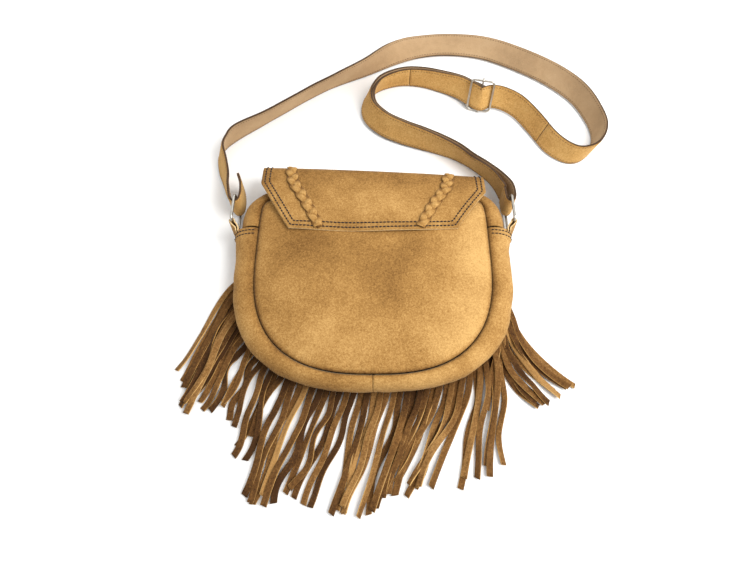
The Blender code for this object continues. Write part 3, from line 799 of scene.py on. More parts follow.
@dataclass
class Zip:
    """The zip along the top: tapes, teeth, slider and pull."""

    shell: BodyShell
    half_length: float = 88.0
    pitch: float = 1.7
    middle_z: float = 20.0
    crest_y: float = 109.0

    def build(self, finishes: Finishes) -> None:
        """Builds every piece of the zip."""
        self.build_tapes(finishes)
        self.build_teeth(finishes)
        self.build_slider(finishes)

    def build_tapes(self, finishes: Finishes) -> None:
        """The two black tapes, from one gusset end to the other."""
        for name, start, end in (("zip_tape_back", 0.383, 0.494), ("zip_tape_front", 0.506, 0.617)):
            place = lambda u, v, a=start, b=end: self.shell.top_point(u, math.pi * mix(a, b, v))
            look = Look(finishes.tape, Slot.ZIP, replaces=(name,), thickness=0.8, side=1.0)
            make_piece(name + "_cloth", sheet_mesh(160, 4, place), look)

    def build_teeth(self, finishes: Finishes) -> None:
        """The two rows of teeth, one bar to a tooth, that mesh along the middle."""
        count = int(2 * self.half_length / self.pitch)
        for name, side in (("zip_coil_back", 1), ("zip_coil_front", -1)):
            row = bmesh.new()
            for index in range(count):
                x = -self.half_length + self.pitch * (index + (0.5 if side > 0 else 0.0))
                start = Vector((x, self.crest_y + 0.9, self.middle_z - side * 0.2))
                end = Vector((x, self.crest_y + 0.9, self.middle_z + side * 2.2))
                add_capsule(row, start, end, 0.62)
            look = Look(finishes.teeth, Slot.ZIP, replaces=(name,))
            make_piece(name + "_teeth", row, look)

    def build_slider(self, finishes: Finishes) -> None:
        """The slider over the teeth, and its pull."""
        parts = (
            ("zip_slider", Body.ZIP_SLIDER, 0.9, 0.55),
            ("zip_pull", Body.ZIP_PULL, 0.5, 0.4),
        )
        for node, body, waist, rounding in parts:
            low, high = (Vector(corner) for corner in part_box(node))
            block = bmesh.new()
            bmesh.ops.create_cube(block, size=1.0)
            bmesh.ops.subdivide_edges(block, edges=block.edges, cuts=4, use_grid_fill=True)
            middle, size = (low + high) / 2, high - low
            for vertex in block.verts:
                narrow = 1 - (1 - waist) * smooth(abs(vertex.co.x) * 1.2)
                spot = Vector((vertex.co.x, vertex.co.y, vertex.co.z * narrow))
                vertex.co = middle + Vector(a * b for a, b in zip(spot, size))
            look = Look(finishes.dark_metal, Slot.DARK_METAL, body=body, replaces=(node,))
            look.soft_edge = rounding * 0.5
            make_piece(node + "_metal", block, look)


# ---------------------------------------------------------------- the flap


@dataclass
class Flap:
    """The folded flap, its stitches, its plaited thongs and the lining of its front."""

    shell: BodyShell
    thickness: float = 1.6
    rear_half_width: float = 85.0
    fold_half_width: float = 118.0
    front_half_width: float = 125.0
    front_depth: float = 118.0
    rear_y: float = 48.0
    kink_y: float = 101.0
    pattern_top_y: float = 160.0
    roll_y: float = 116.0
    roll_reach: float = 16.0
    top_z: float = 47.5
    fold_slope: float = -0.055
    flat_end: float = 0.3
    roll_end: float = 0.5
    lining_inset: float = 13.0
    braid_period: float = 35.0
    braids: tuple = (
        ("braid_left", (0.125, 0.345), (0.19, 0.012)),
        ("braid_right", (0.845, 0.345), (0.775, 0.012)),
    )

    def profile(self, share: float) -> tuple[float, float]:
        """Y and Z of the outer face at mid-width: 0 at the rear edge, 1 at the front."""
        crown_z = self.top_z - 7.0
        if share <= self.flat_end:
            along = share / self.flat_end
            return mix(self.rear_y, self.roll_y, along), mix(self.top_z, crown_z, along**2)
        if share <= self.roll_end:
            turn = math.pi * (share - self.flat_end) / (self.roll_end - self.flat_end)
            half = crown_z / 2
            return self.roll_y + self.roll_reach * math.sin(turn), half + half * math.cos(turn)
        along = (share - self.roll_end) / (1 - self.roll_end)
        return mix(self.roll_y, self.shell.centre_y - self.front_depth * 0.99, along), 0.0

    def half_width(self, y: float, share: float) -> float:
        """The flap's half-width at a station."""
        if share <= self.flat_end:
            along = (y - self.rear_y) / (self.kink_y - self.rear_y)
            return mix(self.rear_half_width, self.fold_half_width, min(1.0, along))
        if y >= self.shell.centre_y:
            along = smooth((self.roll_y - y) / 70.0) if share > self.roll_end else 0.0
            return mix(self.fold_half_width, self.front_half_width, along)
        drop = (self.shell.centre_y - y) / self.front_depth
        power = self.shell.power
        return self.front_half_width * (1 - drop**power) ** (1 / power)

    def point(self, u: float, v: float) -> Vector:
        """A point of the flap's outer face."""
        y, z = self.profile(v)
        across = 2 * u - 1
        x = across * self.half_width(y, v)
        if v < 0.5:
            tilt = smooth(v / 0.3)
            on_top = 1 - smooth((v - 0.3) / 0.2)
            z = max(z - 3.0 * across**2 * on_top, 0.0)
            slack = 0.8 * ripple(x, y, 44.0, 3.3) + 0.3 * ripple(x, y, 16.0, 6.1)
            wave = 0.7 * math.sin(x / 17.0) * (1 - smooth(v / 0.08))
            z += (slack + wave) * on_top * smooth((0.4 - v) / 0.12)
        else:
            tilt = 1 - smooth((v - 0.5) / 0.2)
        rear_curve = -5.0 * (1 - across**2) * (1 - smooth(v / 0.15))
        return Vector((x, y + self.fold_slope * x * tilt + rear_curve, z))

    def on_top(self, x: float, y: float, lift: float = 0.0) -> Vector:
        """The outer face's point at a place of the flat pattern's rear part."""
        share = self.flat_end * (y - self.rear_y) / (self.roll_y - self.rear_y)
        if share > self.flat_end:
            extra = (y - self.roll_y) / (math.pi * self.roll_reach * 1.13)
            share = self.flat_end + (self.roll_end - self.flat_end) * extra
        half = self.half_width(self.profile(share)[0], share)
        return self.lifted(0.5 + x / (2 * half), share, lift)

    def lifted(self, u: float, v: float, lift: float) -> Vector:
        """A point of the outer face, moved out along the face's normal."""
        here = self.point(u, v)
        right = self.point(u + 0.004, v) - self.point(u - 0.004, v)
        up = self.point(u, v + 0.002) - self.point(u, max(0.0, v - 0.002))
        return here + right.cross(up).normalized() * lift

    def build(self, finishes: Finishes) -> list[bpy.types.Object]:
        """Builds the flap's pieces.

        Args:
            finishes: the bag's finishes.

        Returns:
            The sheet first, then the pieces sewn to it.
        """
        mesh = bmesh.new()
        layer = mesh.verts.layers.float.new(SHADE)
        for vertex, u, v in add_sheet(mesh, 110, 170, self.point):
            x, y = vertex.co.x / MM, vertex.co.y / MM
            tone = 0.5 + 0.16 * ripple(x, y, 40.0, 12.0) + 0.1 * ripple(x, y, 18.0, 2.0)
            # Painted shade over the roll of the fold, which turns away from the light.
            tone -= 0.2 * smooth((v - 0.16) / 0.16) * smooth((0.6 - v) / 0.1)
            vertex[layer] = tone
        look = Look(finishes.suede, Slot.SUEDE, replaces=("flap",), thickness=self.thickness)
        look.rim = finishes.raw_edge
        sheet = make_piece("flap_suede", mesh, look)
        return [sheet, self.build_lining(finishes), self.sew(finishes), *self.plait(finishes)]

    def build_lining(self, finishes: Finishes) -> bpy.types.Object:
        """The black lining on the inner face of the flap's front."""
        half_width = self.front_half_width - self.lining_inset
        depth = self.front_depth - self.lining_inset
        power = self.shell.power

        def place(u: float, v: float) -> Vector:
            y = mix(96.0, self.shell.centre_y - depth * 0.985, v)
            drop = max(0.0, self.shell.centre_y - y) / depth
            width = half_width * (1 - drop**power) ** (1 / power)
            width = min(width, self.fold_half_width - 10.0) if y > 60 else width
            return Vector(((2 * u - 1) * width, y, self.thickness + 0.35))

        look = Look(finishes.lining, Slot.LINING, replaces=("flap_lining",), thickness=0.8)
        return make_piece("flap_lining_cloth", sheet_mesh(40, 40, place), look)

    def edge_path(self, inset: float) -> list[Vector]:
        """The rear edge's outline on the flat pattern, moved in by the inset."""
        corners = [
            Vector((-self.fold_half_width, self.pattern_top_y)),
            Vector((-self.fold_half_width, self.kink_y)),
            Vector((-self.rear_half_width, self.rear_y)),
            Vector((self.rear_half_width, self.rear_y)),
            Vector((self.fold_half_width, self.kink_y)),
            Vector((self.fold_half_width, self.pattern_top_y)),
        ]
        sides = []
        for a, b in zip(corners, corners[1:]):
            along = (b - a).normalized()
            sides.append((a + Vector((-along.y, along.x)) * inset, along))
        path = [sides[0][0]]
        for (p, d), (q, e) in zip(sides, sides[1:]):
            share = ((q - p).x * e.y - (q - p).y * e.x) / (d.x * e.y - d.y * e.x)
            path.append(p + d * share)
        path.append(sides[-1][0] + sides[-1][1] * (160 - self.kink_y))
        return path

    def sew(self, finishes: Finishes) -> bpy.types.Object:
        """The two rows of brown stitches inside the edge, and the row that holds the fringe."""
        seam = Seam(stitch=3.3, space=0.5, radius=0.78)
        for inset in (3.8, 8.6):
            corners = [Vector((p.x, p.y, 0)) for p in self.edge_path(inset)]
            flat = []
            for a, b in zip(corners, corners[1:]):
                flat += [a.lerp(b, step / 40) for step in range(40)]
            flat.append(corners[-1])
            path = [self.on_top(p.x, p.y, 0.3) for p in flat if p.y < self.pattern_top_y - 2.0]
            seam.sew(path, wobble=0.16, seed=int(inset * 10))
        for inset in (4.0, 8.0):
            rim = self.shell.u_outline(
                self.front_half_width - inset, self.front_depth - inset, 24.0
            )
            seam.sew([Vector((p.x, p.y, 0.25)) for p in rim], seed=int(inset))
        return make_piece("flap_stitches", seam.mesh, Look(finishes.thread, Slot.SUEDE))

    def plait(self, finishes: Finishes) -> list[bpy.types.Object]:
        """The two thongs plaited from three flat strands.

        Args:
            finishes: the bag's finishes.

        Returns:
            The two plaits.
        """
        pieces = []
        for name, top, bottom in self.braids:
            mesh = bmesh.new()
            layer = mesh.verts.layers.float.new(SHADE)
            for strand in range(3):
                self.add_strand(mesh, layer, strand, top, bottom)
            bmesh.ops.recalc_face_normals(mesh, faces=mesh.faces)
            look = Look(finishes.braid, Slot.BRAID, replaces=(name,))
            pieces.append(make_piece(name + "_plait", mesh, look))
        return pieces

    def add_strand(
        self, mesh: bmesh.types.BMesh, layer: object, strand: int, top: tuple, bottom: tuple
    ) -> None:
        """Adds one of a plait's three strands.

        Args:
            mesh: the plait's mesh.
            layer: its shade layer.
            strand: which of the three strands.
            top: the plait's start on the flap, as shares of width and length.
            bottom: its end.
        """
        length = 82.0
        stations, sides = 120, 12

        def centre(share: float) -> tuple[Vector, Vector]:
            phase = 2 * math.pi * (share * length / self.braid_period + strand / 3)
            spread = 3.1 * (1 - 0.25 * smooth((0.1 - share) / 0.1))
            aside = spread * math.sin(phase)
            under = smooth((share - 0.93) / 0.07) * 1.6
            high = 1.9 + 0.95 * math.sin(2 * phase) - under
            u = mix(bottom[0], top[0], share) + aside / (2 * self.fold_half_width)
            v = mix(bottom[1], top[1], share)
            return self.lifted(u, v, high), self.lifted(u, v, high + 1.0)

        def place(u: float, v: float) -> Vector:
            here, above = centre(v)
            ahead, _ = centre(min(1.0, v + 0.004))
            behind, _ = centre(max(0.0, v - 0.004))
            along = (ahead - behind).normalized()
            normal = (above - here).normalized()
            aside = along.cross(normal).normalized()
            turn = 2 * math.pi * u
            width = 3.6 * (1 - 0.35 * smooth((v - 0.9) / 0.1))
            across = math.copysign(abs(math.cos(turn)) ** 0.7, math.cos(turn)) * width
            depth = math.copysign(abs(math.sin(turn)) ** 0.8, math.sin(turn)) * 0.7
            return here + aside * across + normal * (depth - 0.06 * across**2)

        added = add_sheet(mesh, sides, stations, place)
        for vertex, u, v in added:
            edge = abs(math.cos(2 * math.pi * u))
            phase = 2 * math.pi * (v * length / self.braid_period + strand / 3)
            # Painted light and shade: lighter where a strand rides high over the others, darker
            # where it dips under them and along its edges between strands.
            edge_painted_shade = -0.3 * smooth((edge - 0.9) / 0.1)
            vertex[layer] = 0.34 + 0.3 * math.sin(2 * phase) + edge_painted_shade
        bmesh.ops.remove_doubles(mesh, verts=[vertex for vertex, _, _ in added], dist=1e-6)
        ends = [e for e in mesh.edges if e.is_boundary]
        bmesh.ops.holes_fill(mesh, edges=ends, sides=sides + 2)


# ---------------------------------------------------------------- the fringe


@dataclass
class Fringe:
    """The strip under the flap's edge, cut into strands that lie in tufts."""

    flap: Flap
    strands: int = 66
    width: float = 6.0
    thickness: float = 1.0
    header_z: float = 1.9
    header_depth: float = 10.0
    cell: float = 1.5
    stations: int = 44
    tufts: tuple = (
        (7, (-184, -92), (-172, -132), None), (5, (-168, -108), (-150, -124), None),
        (4, (-144, -119), (-128, -138), None), (4, (-127, -172), (-112, -150), None),
        (6, (-114, -199), (-84, -204), None), (5, (-76, -200), (-54, -205), None),
        (6, (-38, -210), (-12, -213), None), (4, (-6, -209), (8, -208), None),
        (5, (14, -192), (30, -196), None), (3, (34, -200), (48, -198), None),
        (2, (72, -195), (79, -191), None), (4, (92, -180), (112, -177), None),
        (1, (102, -125), (102, -125), None),
        (10, (153, -122), (188, -96), ((112, -88), (132, -62))),
    )
    heights: dict = field(default_factory=dict)

    def build(self, finishes: Finishes) -> bpy.types.Object:
        """Builds the strip and its strands.

        Args:
            finishes: the bag's finishes.

        Returns:
            The fringe.
        """
        draw = random.Random(11)
        rim = self.flap.shell.u_outline(
            self.flap.front_half_width, self.flap.front_depth, 26.0
        )[::-1]
        mesh = bmesh.new()
        layer = mesh.verts.layers.float.new(SHADE)
        self.add_header(mesh, layer, rim)
        courses = [self.course(index, rim, draw) for index in range(self.strands)]
        order = list(range(self.strands))
        draw.shuffle(order)
        for index in order:
            self.add_strand(mesh, layer, courses[index], draw)
        look = Look(finishes.fringe, Slot.FRINGE, replaces=("fringe",), thickness=self.thickness)
        look.side = 1.0
        look.rim = finishes.fringe_edge
        return make_piece("fringe_strip", mesh, look)

    def add_header(self, mesh: bmesh.types.BMesh, layer: object, rim: list[Vector]) -> None:
        """Adds the uncut band that is sewn under the flap's edge."""
        last = len(rim) - 1

        def place(u: float, v: float) -> Vector:
            edge = rim[round(u * last)]
            inward = Vector((-edge.x, -edge.y + 8, 0)).normalized()
            return edge + inward * (1 - v) * self.header_depth + Vector((0, 0, self.header_z))

        for vertex, _, _ in add_sheet(mesh, last // 2, 2, place):
            vertex[layer] = 0.4

    def ends(self, index: int) -> tuple[Vector, Vector | None]:
        """Where a strand's tip lies, and its tuft's bend there if it has one."""
        for count, first, last, bend in self.tufts:
            if index < count:
                share = index / max(1, count - 1)
                tip = Vector((*first, 0)).lerp(Vector((*last, 0)), share)
                if bend is None:
                    return tip, None
                return tip, Vector((*bend[0], 0)).lerp(Vector((*bend[1], 0)), share)
            index -= count
        raise ValueError("more strands than the tufts hold")

    def course(self, index: int, rim: list[Vector], draw: random.Random) -> list[Vector]:
        """A strand's route in plan, with the waves that limp suede keeps.

        Args:
            index: the strand's place along the strip.
            rim: the flap's edge, from the left.
            draw: the seeded source of chance.

        Returns:
            Even points from the flap's edge to the strand's tip.
        """
        share = (index + 0.5) / self.strands
        last = len(rim) - 1
        start = rim[round(share * last)]
        along = (rim[min(last, round(share * last) + 2)] - rim[max(0, round(share * last) - 2)])
        outward = Vector((along.y, -along.x, 0)).normalized()
        tip, bend = self.ends(index)
        tip += Vector((draw.gauss(0, 3.0), draw.uniform(-7, 6), 0))
        reach = (tip - start).length
        heading = (outward + (tip - start).normalized() * 1.3).normalized()
        first = start + heading * reach * 0.33
        second = start.lerp(tip, 0.66) + Vector((draw.gauss(0, 4), draw.gauss(0, 3), 0))
        if bend:
            first, second = start.lerp(bend, 0.45) + outward * 12, bend
        waves = draw.choice((0.6, 1.0, 1.5, 2.0))
        swing = draw.uniform(0.5, 2.6)
        phase = draw.uniform(0, 6.28)
        points = []
        for step in range(self.stations + 1):
            t = step / self.stations
            point = start * (1 - t) ** 3 + first * 3 * t * (1 - t) ** 2
            point += second * 3 * t * t * (1 - t) + tip * t**3
            aside = Vector((-(tip - start).y, (tip - start).x, 0)).normalized()
            point += aside * swing * math.sin(waves * 2 * math.pi * t + phase) * smooth(t / 0.4)
            points.append(point)
        return resampled(points, self.stations + 1)

    def floor_under(self, point: Vector, side: Vector) -> float:
        """The height already filled under a strand's width at a point."""
        highest = 0.0
        for offset in (-0.5, -0.25, 0.0, 0.25, 0.5):
            spot = point + side * self.width * offset
            key = (round(spot.x / self.cell), round(spot.y / self.cell))
            highest = max(highest, self.heights.get(key, 0.0))
        return highest

    def add_strand(
        self, mesh: bmesh.types.BMesh, layer: object, course: list[Vector], draw: random.Random
    ) -> None:
        """Lays one strand over those already laid.

        Args:
            mesh: the fringe's mesh.
            layer: its shade layer.
            course: the strand's route in plan.
            draw: the seeded source of chance.
        """
        last = len(course) - 1
        sides = []
        for index in range(last + 1):
            along = course[min(last, index + 1)] - course[max(0, index - 1)]
            sides.append(Vector((along.y, -along.x, 0)).normalized())
        under = [self.floor_under(p, s) for p, s in zip(course, sides)]
        hold = [max(under[max(0, i - 1) : i + 2]) for i in range(last + 1)]
        level = []
        for index in range(last + 1):
            near = hold[max(0, index - 3) : index + 4]
            level.append(min(5.6, 0.2 + sum(near) / len(near)))
        roll_waves = draw.choice((0.5, 1.0, 1.0, 1.5))
        roll_size = draw.choice((0.15, 0.3, 0.5, 0.9))
        roll_phase = draw.uniform(0, 6.28)
        curl = draw.uniform(0.15, 0.55)
        # Each strand's own random tone, with painted shade on the strands towards the left.
        tone = 0.47 + draw.gauss(0, 0.17) - 0.12 * smooth((-course[0].x - 20) / 60)
        slant = draw.uniform(-1.2, 1.2)
        half = self.width / 2 * draw.uniform(0.9, 1.04)
        top_of = {}

        def place(u: float, v: float) -> Vector:
            index = round(v * last)
            centre, side = course[index], sides[index]
            across = (2 * u - 1) * half
            share = index / last
            roll = roll_size * math.sin(roll_waves * 2 * math.pi * share + roll_phase)
            roll *= smooth((share - 0.15) / 0.3)
            lift = abs(math.sin(roll)) * half
            z = mix(self.header_z, level[index] + lift, smooth(share * 6.5))
            z += across * math.sin(roll) + curl * (across / half) ** 2 * smooth(share * 3)
            spot = centre + side * across * math.cos(roll)
            if index == last:
                spot += (course[last] - course[last - 1]).normalized() * slant * (2 * u - 1)
            top_of[index] = max(top_of.get(index, 0.0), z + self.thickness)
            return Vector((spot.x, spot.y, max(0.15, z)))

        for vertex, u, v in add_sheet(mesh, 4, last, place):
            # Painted shade near the roots under the flap's edge and on strands lying low in the
            # pile; strands lying high get painted light.
            shaded = 0.16 * smooth(1 - v * 2.4)
            pile_painted_shade_and_light = 0.05 * (level[round(v * last)] - 2.0)
            vertex[layer] = tone + 0.1 * (2 * abs(u - 0.5)) ** 2 - shaded + pile_painted_shade_and_light
        for index in range(3, last + 1):
            for offset in (-0.45, -0.2, 0.0, 0.2, 0.45):
                spot = course[index] + sides[index] * self.width * offset
                key = (round(spot.x / self.cell), round(spot.y / self.cell))
                filled = min(top_of[index], level[index] + self.thickness + 0.5)
                self.heights[key] = max(self.heights.get(key, 0.0), filled)


# ---------------------------------------------------------------- rings and tabs


@dataclass
class Hardware:
    """The rings, the loops that hold them, and the strap's slider."""

    ring_x: float = 145.5
    ring_y: tuple = (64.0, 95.0)
    ring_z: tuple = (3.5, 37.5)
    wire: float = 1.5
    tab_width: float = 26.0
    tab_wall: float = 1.3
    slider_at: tuple = (128.0, 247.5)
    slider_length: float = 27.0
    slider_height: float = 38.2
    slider_foot: float = 1.7
    slider_lean: float = 22.0
    slider_wire: float = 1.3

    def rounded(self, corners: Sequence[Vector], radius: float) -> list[Vector]:
        """A closed outline with rounded corners.

        Args:
            corners: the outline's corners.
            radius: the corners' radius.

        Returns:
            The outline's points.
        """
        points = []
        for index, corner in enumerate(corners):
            before = (corners[index - 1] - corner).normalized()
            after = (corners[(index + 1) % len(corners)] - corner).normalized()
            centre = corner + (before + after) * radius
            for step in range(9):
                turn = math.pi / 2 * step / 8
                points.append(
                    centre - after * radius * math.cos(turn) - before * radius * math.sin(turn)
                )
        return points

    def build(self, finishes: Finishes) -> None:
        """Builds the rings, tabs and slider."""
        for name, side, body in (("left", -1, Body.RING_LEFT), ("right", 1, Body.RING_RIGHT)):
            self.build_ring(name, side, body, finishes)
            self.build_tab(name, side, finishes)
        self.build_slider(finishes)

    def build_ring(self, name: str, side: int, body: Body, finishes: Finishes) -> None:
        """A rectangular wire ring."""
        x = side * self.ring_x
        (near, far), (low, high) = self.ring_y, self.ring_z
        spots = ((near, low), (far, low), (far, high), (near, high))
        corners = [Vector((x, y, z)) for y, z in spots]
        mesh = bmesh.new()
        add_tube(mesh, self.rounded(corners, 4.0), self.wire, 14, True)
        bmesh.ops.recalc_face_normals(mesh, faces=mesh.faces)
        look = Look(finishes.nickel, Slot.NICKEL, body=body, replaces=(f"ring_{name}",))
        make_piece(f"ring_{name}_wire", mesh, look)

    def build_tab(self, name: str, side: int, finishes: Finishes) -> None:
        """The suede loop round a ring's near bar, pinched at its sides."""
        radius = self.wire + 0.4 + self.tab_wall / 2
        loop = [Vector((138.9, 54.0, 0)), Vector((138.9, 57.0, 0)), Vector((140.6, 60.5, 0))]
        for step in range(25):
            turn = math.radians(200 - 220 * step / 24)
            spoke = Vector((math.cos(turn), math.sin(turn), 0)) * radius
            loop.append(Vector((self.ring_x, self.ring_y[0], 0)) + spoke)
        loop += [Vector((145.4, 60.0, 0)), Vector((141.6, 57.0, 0)), Vector((141.2, 54.0, 0))]
        course = resampled(loop, 61)
        low = (self.ring_z[0] + self.ring_z[1] - self.tab_width) / 2

        def place(u: float, v: float) -> Vector:
            point = course[round(u * 60)]
            pinch = 2.2 * smooth((61.0 - point.y) / 6.0)
            z = low + pinch + v * (self.tab_width - 2 * pinch)
            return Vector((side * point.x, point.y, z))

        look = Look(finishes.suede, Slot.SUEDE, replaces=(f"tab_{name}",), thickness=self.tab_wall)
        look.side = 0.0
        look.rim = finishes.raw_edge
        make_piece(f"tab_{name}_suede", sheet_mesh(60, 14, place), look)

    def slider_axes(self) -> tuple[Vector, Vector, Vector]:
        """The slider's foot, the strap's travel through it, and its upward direction."""
        lean = math.radians(self.slider_lean)
        travel = Vector((-0.98, 0.2, 0.0)).normalized()
        right = Vector((travel.y, -travel.x, 0.0))
        up = right * math.sin(lean) + Vector((0, 0, math.cos(lean)))
        return Vector((*self.slider_at, 0)), travel, up

    def build_slider(self, finishes: Finishes) -> None:
        """The slider's rounded frame, and its centre bar curled round the frame's sides."""
        foot, travel, up = self.slider_axes()
        half = self.slider_length / 2
        low, high = self.slider_foot, self.slider_height
        spots = ((-half, low), (half, low), (half, high), (-half, high))
        corners = [foot + travel * a + up * b for a, b in spots]
        ring = bmesh.new()
        add_tube(ring, self.rounded(corners, 4.0), self.slider_wire, 14, True)
        bmesh.ops.recalc_face_normals(ring, faces=ring.faces)
        look = Look(finishes.nickel, Slot.NICKEL, replaces=("slider_frame",))
        make_piece("slider_frame_wire", ring, look)
        bar = bmesh.new()
        away = travel.cross(up).normalized()
        path = []
        for level, turn_start, sign in ((low, 250, 1), (high, -20, 1)):
            hook = []
            for step in range(15):
                turn = math.radians(turn_start + 220 * step / 14)
                spoke = away * math.cos(turn) + up * math.sin(turn) * sign
                hook.append(foot + up * level + spoke * (self.slider_wire + 1.0))
            path += hook[::-1] if level < 10 else hook
        add_tube(bar, resampled(path, 70), 1.05, 10, False)
        bmesh.ops.recalc_face_normals(bar, faces=bar.faces)
        look = Look(finishes.nickel, Slot.NICKEL, replaces=("slider_bar",))
        make_piece("slider_bar_wire", bar, look)


# ---------------------------------------------------------------- the strap


@dataclass
class Strap:
    """The strap: a suede face and a paler backing, sewn along both edges."""

    width: float = 28.0
    ply: float = 1.2
    gap: float = 0.3
    layer_pitch: float = 3.6
    slider_at: float = 35.0
    ring_turn_at: float = 52.0
    long_end: float = 30.5
    middle_end: float = 39.5
    half_seam: float = 0.012
    step: float = 0.125
    route: tuple = (
        (-146.5, 126, 5, 0), (-142.5, 114, 6.5, 0), (-140.8, 101, 6.5, 0), (-142.4, 91.5, 6.5, 0),
        (-147.2, 89.3, 6.5, 0), (-151.6, 93.5, 6.5, 0), (-156, 104, 6, -4), (-162, 116, 4, -12),
        (-168, 131, 1.5, -20), (-176, 152, 0.8, -25), (-179, 172, 0.8, -20), (-173, 188, 0.8, -14),
        (-160, 202, 0.8, -6), (-133, 224, 0.8, -14), (-106, 246, 0.8, -16), (-78, 268, 0.8, -16),
        (-48, 288, 0.8, -14), (-8, 308, 0.8, 2), (30, 327, 0.8, 34), (62, 339, 0.8, 60),
        (96, 343, 0.8, 64), (138, 337, 0.8, 56), (177, 318, 0.8, 46), (215, 292, 0.8, 40),
        (243, 262, 0.8, 30), (257, 229, 0.8, 22), (260, 203, 0.8, 20), (251, 180, 0.8, 14),
        (235, 167, 0.8, 0), (218, 169, 0.8, -12), (201, 184, 0.8, -20), (186, 212, 0.8, -22),
        (171, 236, 1.2, -22), (156, 247.4, 2.2, -22), (142.5, 250.2, 3.2, -22),
        (128.6, 245.1, 3.6, -22), (115.3, 255.3, 3.3, -22), (103, 267.5, 2.4, -16),
        (84, 279, 1.2, -6), (58, 289, 0.8, 2), (32, 290, 0.8, 8), (5, 279, 0.8, 16),
        (-9, 257, 0.8, 22), (-8, 232, 0.8, 26), (9, 211, 0.8, 26), (33, 198, 0.8, 20),
        (56, 190, 0.8, 12), (78, 183, 0.8, 2), (98, 174, 0.8, -6), (116, 161, 0.8, -12),
        (131, 144, 2.5, -8), (142, 127, 5, -4), (148.5, 112, 6.5, 0), (150.4, 99, 6.5, 0),
        (148.6, 91.4, 6.5, 0), (144.6, 89.4, 6.5, 0), (141, 92.6, 6.5, 0), (140.2, 106, 6.5, 0),
    )

    def axes(self, place: float) -> tuple[Vector, Vector, Vector]:
        """The lower edge, the left-hand normal and the width's direction at a place."""
        last = len(self.route) - 1.0001
        x, y, z, lean = spline_point(self.route, place)
        ahead = spline_point(self.route, min(place + 0.05, last))
        behind = spline_point(self.route, max(place - 0.05, 0.0))
        travel = Vector((ahead[0] - behind[0], ahead[1] - behind[1], 0.0)).normalized()
        left = Vector((-travel.y, travel.x, 0.0))
        angle = math.radians(lean)
        width = left * math.sin(angle) + Vector((0, 0, math.cos(angle)))
        normal = left * math.cos(angle) - Vector((0, 0, math.sin(angle)))
        return Vector((x, y, z + 1.5 * abs(math.sin(angle)))), normal, width

    def return_offset(self, place: float) -> float:
        """How far the returning layer lies from the first: wider at ring and slider."""
        at_ring = 4.6 * smooth((place - self.ring_turn_at + 2.0) / 2.0)
        at_slider = 4.0 * smooth((self.slider_at + 1.6 - place) / 1.2)
        return -(self.layer_pitch + at_ring + at_slider)

    def point(self, place: float, aside: float, across: float) -> Vector:
        """A point of the strap: its place, the offset from its middle, and the height across."""
        edge, normal, width = self.axes(place)
        wave = 0.25 * math.sin(place * 2.1) + 0.15 * math.sin(place * 5.3 + across * 0.1)
        bow = 0.5 * (1 - ((across / self.width) * 2 - 1) ** 2)
        return edge + normal * (aside + (wave + bow) * 0.35) + width * across

    def ply_mesh(
        self, start: float, end: float, shift: float, offset: Callable[[float], float] | None
    ) -> bmesh.types.BMesh:
        """One ply between two places on the route.

        Args:
            start: where it starts.
            end: where it ends.
            shift: the ply's own offset from the strap's middle.
            offset: the whole layer's offset, if it isn't on the route itself.

        Returns:
            The ply's mesh.
        """
        mesh = bmesh.new()
        layer = mesh.verts.layers.float.new(SHADE)
        count = max(2, round((end - start) / self.step))

        def place(u: float, v: float) -> Vector:
            at = mix(start, end, u)
            aside = shift + (offset(at) if offset else 0.0)
            edge = abs(2 * v - 1)
            pinch = -0.3 * math.copysign(smooth((edge - 0.84) / 0.16), shift)
            return self.point(at, aside + pinch, v * self.width)

        for vertex, u, v in add_sheet(mesh, count, 10, place):
            at = mix(start, end, u)
            edge = abs(2 * v - 1)
            tone = 0.5 + 0.14 * ripple(at * 14, v * 28, 20.0, shift)
            vertex[layer] = tone - 0.3 * smooth((edge - 0.9) / 0.1)
        return mesh

    def build(self, finishes: Finishes) -> None:
        """Builds the strap's lengths, its stitches and the loop on the slider's bar."""
        shift = (self.ply + self.gap) / 2
        end = len(self.route) - 1.001
        runs = (
            ("strap_long", 0.0, self.long_end - self.half_seam, None, 1),
            (
                "strap_middle", self.long_end + self.half_seam,
                self.middle_end - self.half_seam, None, 1,
            ),
            ("strap_ring_end", self.middle_end + self.half_seam, end, None, 1),
            ("strap_return", self.slider_at + 0.1, self.ring_turn_at + 0.1, self.return_offset, -1),
        )
        seam = Seam(stitch=2.6, space=0.8, radius=0.4)
        for name, start, stop, offset, facing in runs:
            for ply, finish, slot, sign in (
                ("face", finishes.strap, Slot.STRAP, facing),
                ("backing", finishes.backing, Slot.BACKING, -facing),
            ):
                look = Look(finish, slot, replaces=(f"{name}_{ply}",), thickness=self.ply + 0.2)
                look.side = 0.0
                look.rim = finishes.strap_edge
                mesh = self.ply_mesh(start, stop, sign * shift, offset)
                make_piece(f"{name}_{ply}_ply", mesh, look)
                self.sew_edges(seam, start, stop, sign * (shift + self.ply / 2 - 0.05), offset)
        look = Look(finishes.strap_thread, Slot.STRAP)
        make_piece("strap_stitches", seam.mesh, look)
        self.build_wrap(finishes)

    def sew_edges(
        self,
        seam: Seam,
        start: float,
        stop: float,
        aside: float,
        offset: Callable[[float], float] | None,
    ) -> None:
        """Sews a row along each edge of one face of a layer."""
        count = max(2, round((stop - start) / self.step))
        for across in (2.6, self.width - 2.6):
            path = []
            for index in range(count + 1):
                at = mix(start + 0.05, stop - 0.05, index / count)
                path.append(self.point(at, aside + (offset(at) if offset else 0.0), across))
            seam.sew(path, wobble=0.08, seed=round(across))

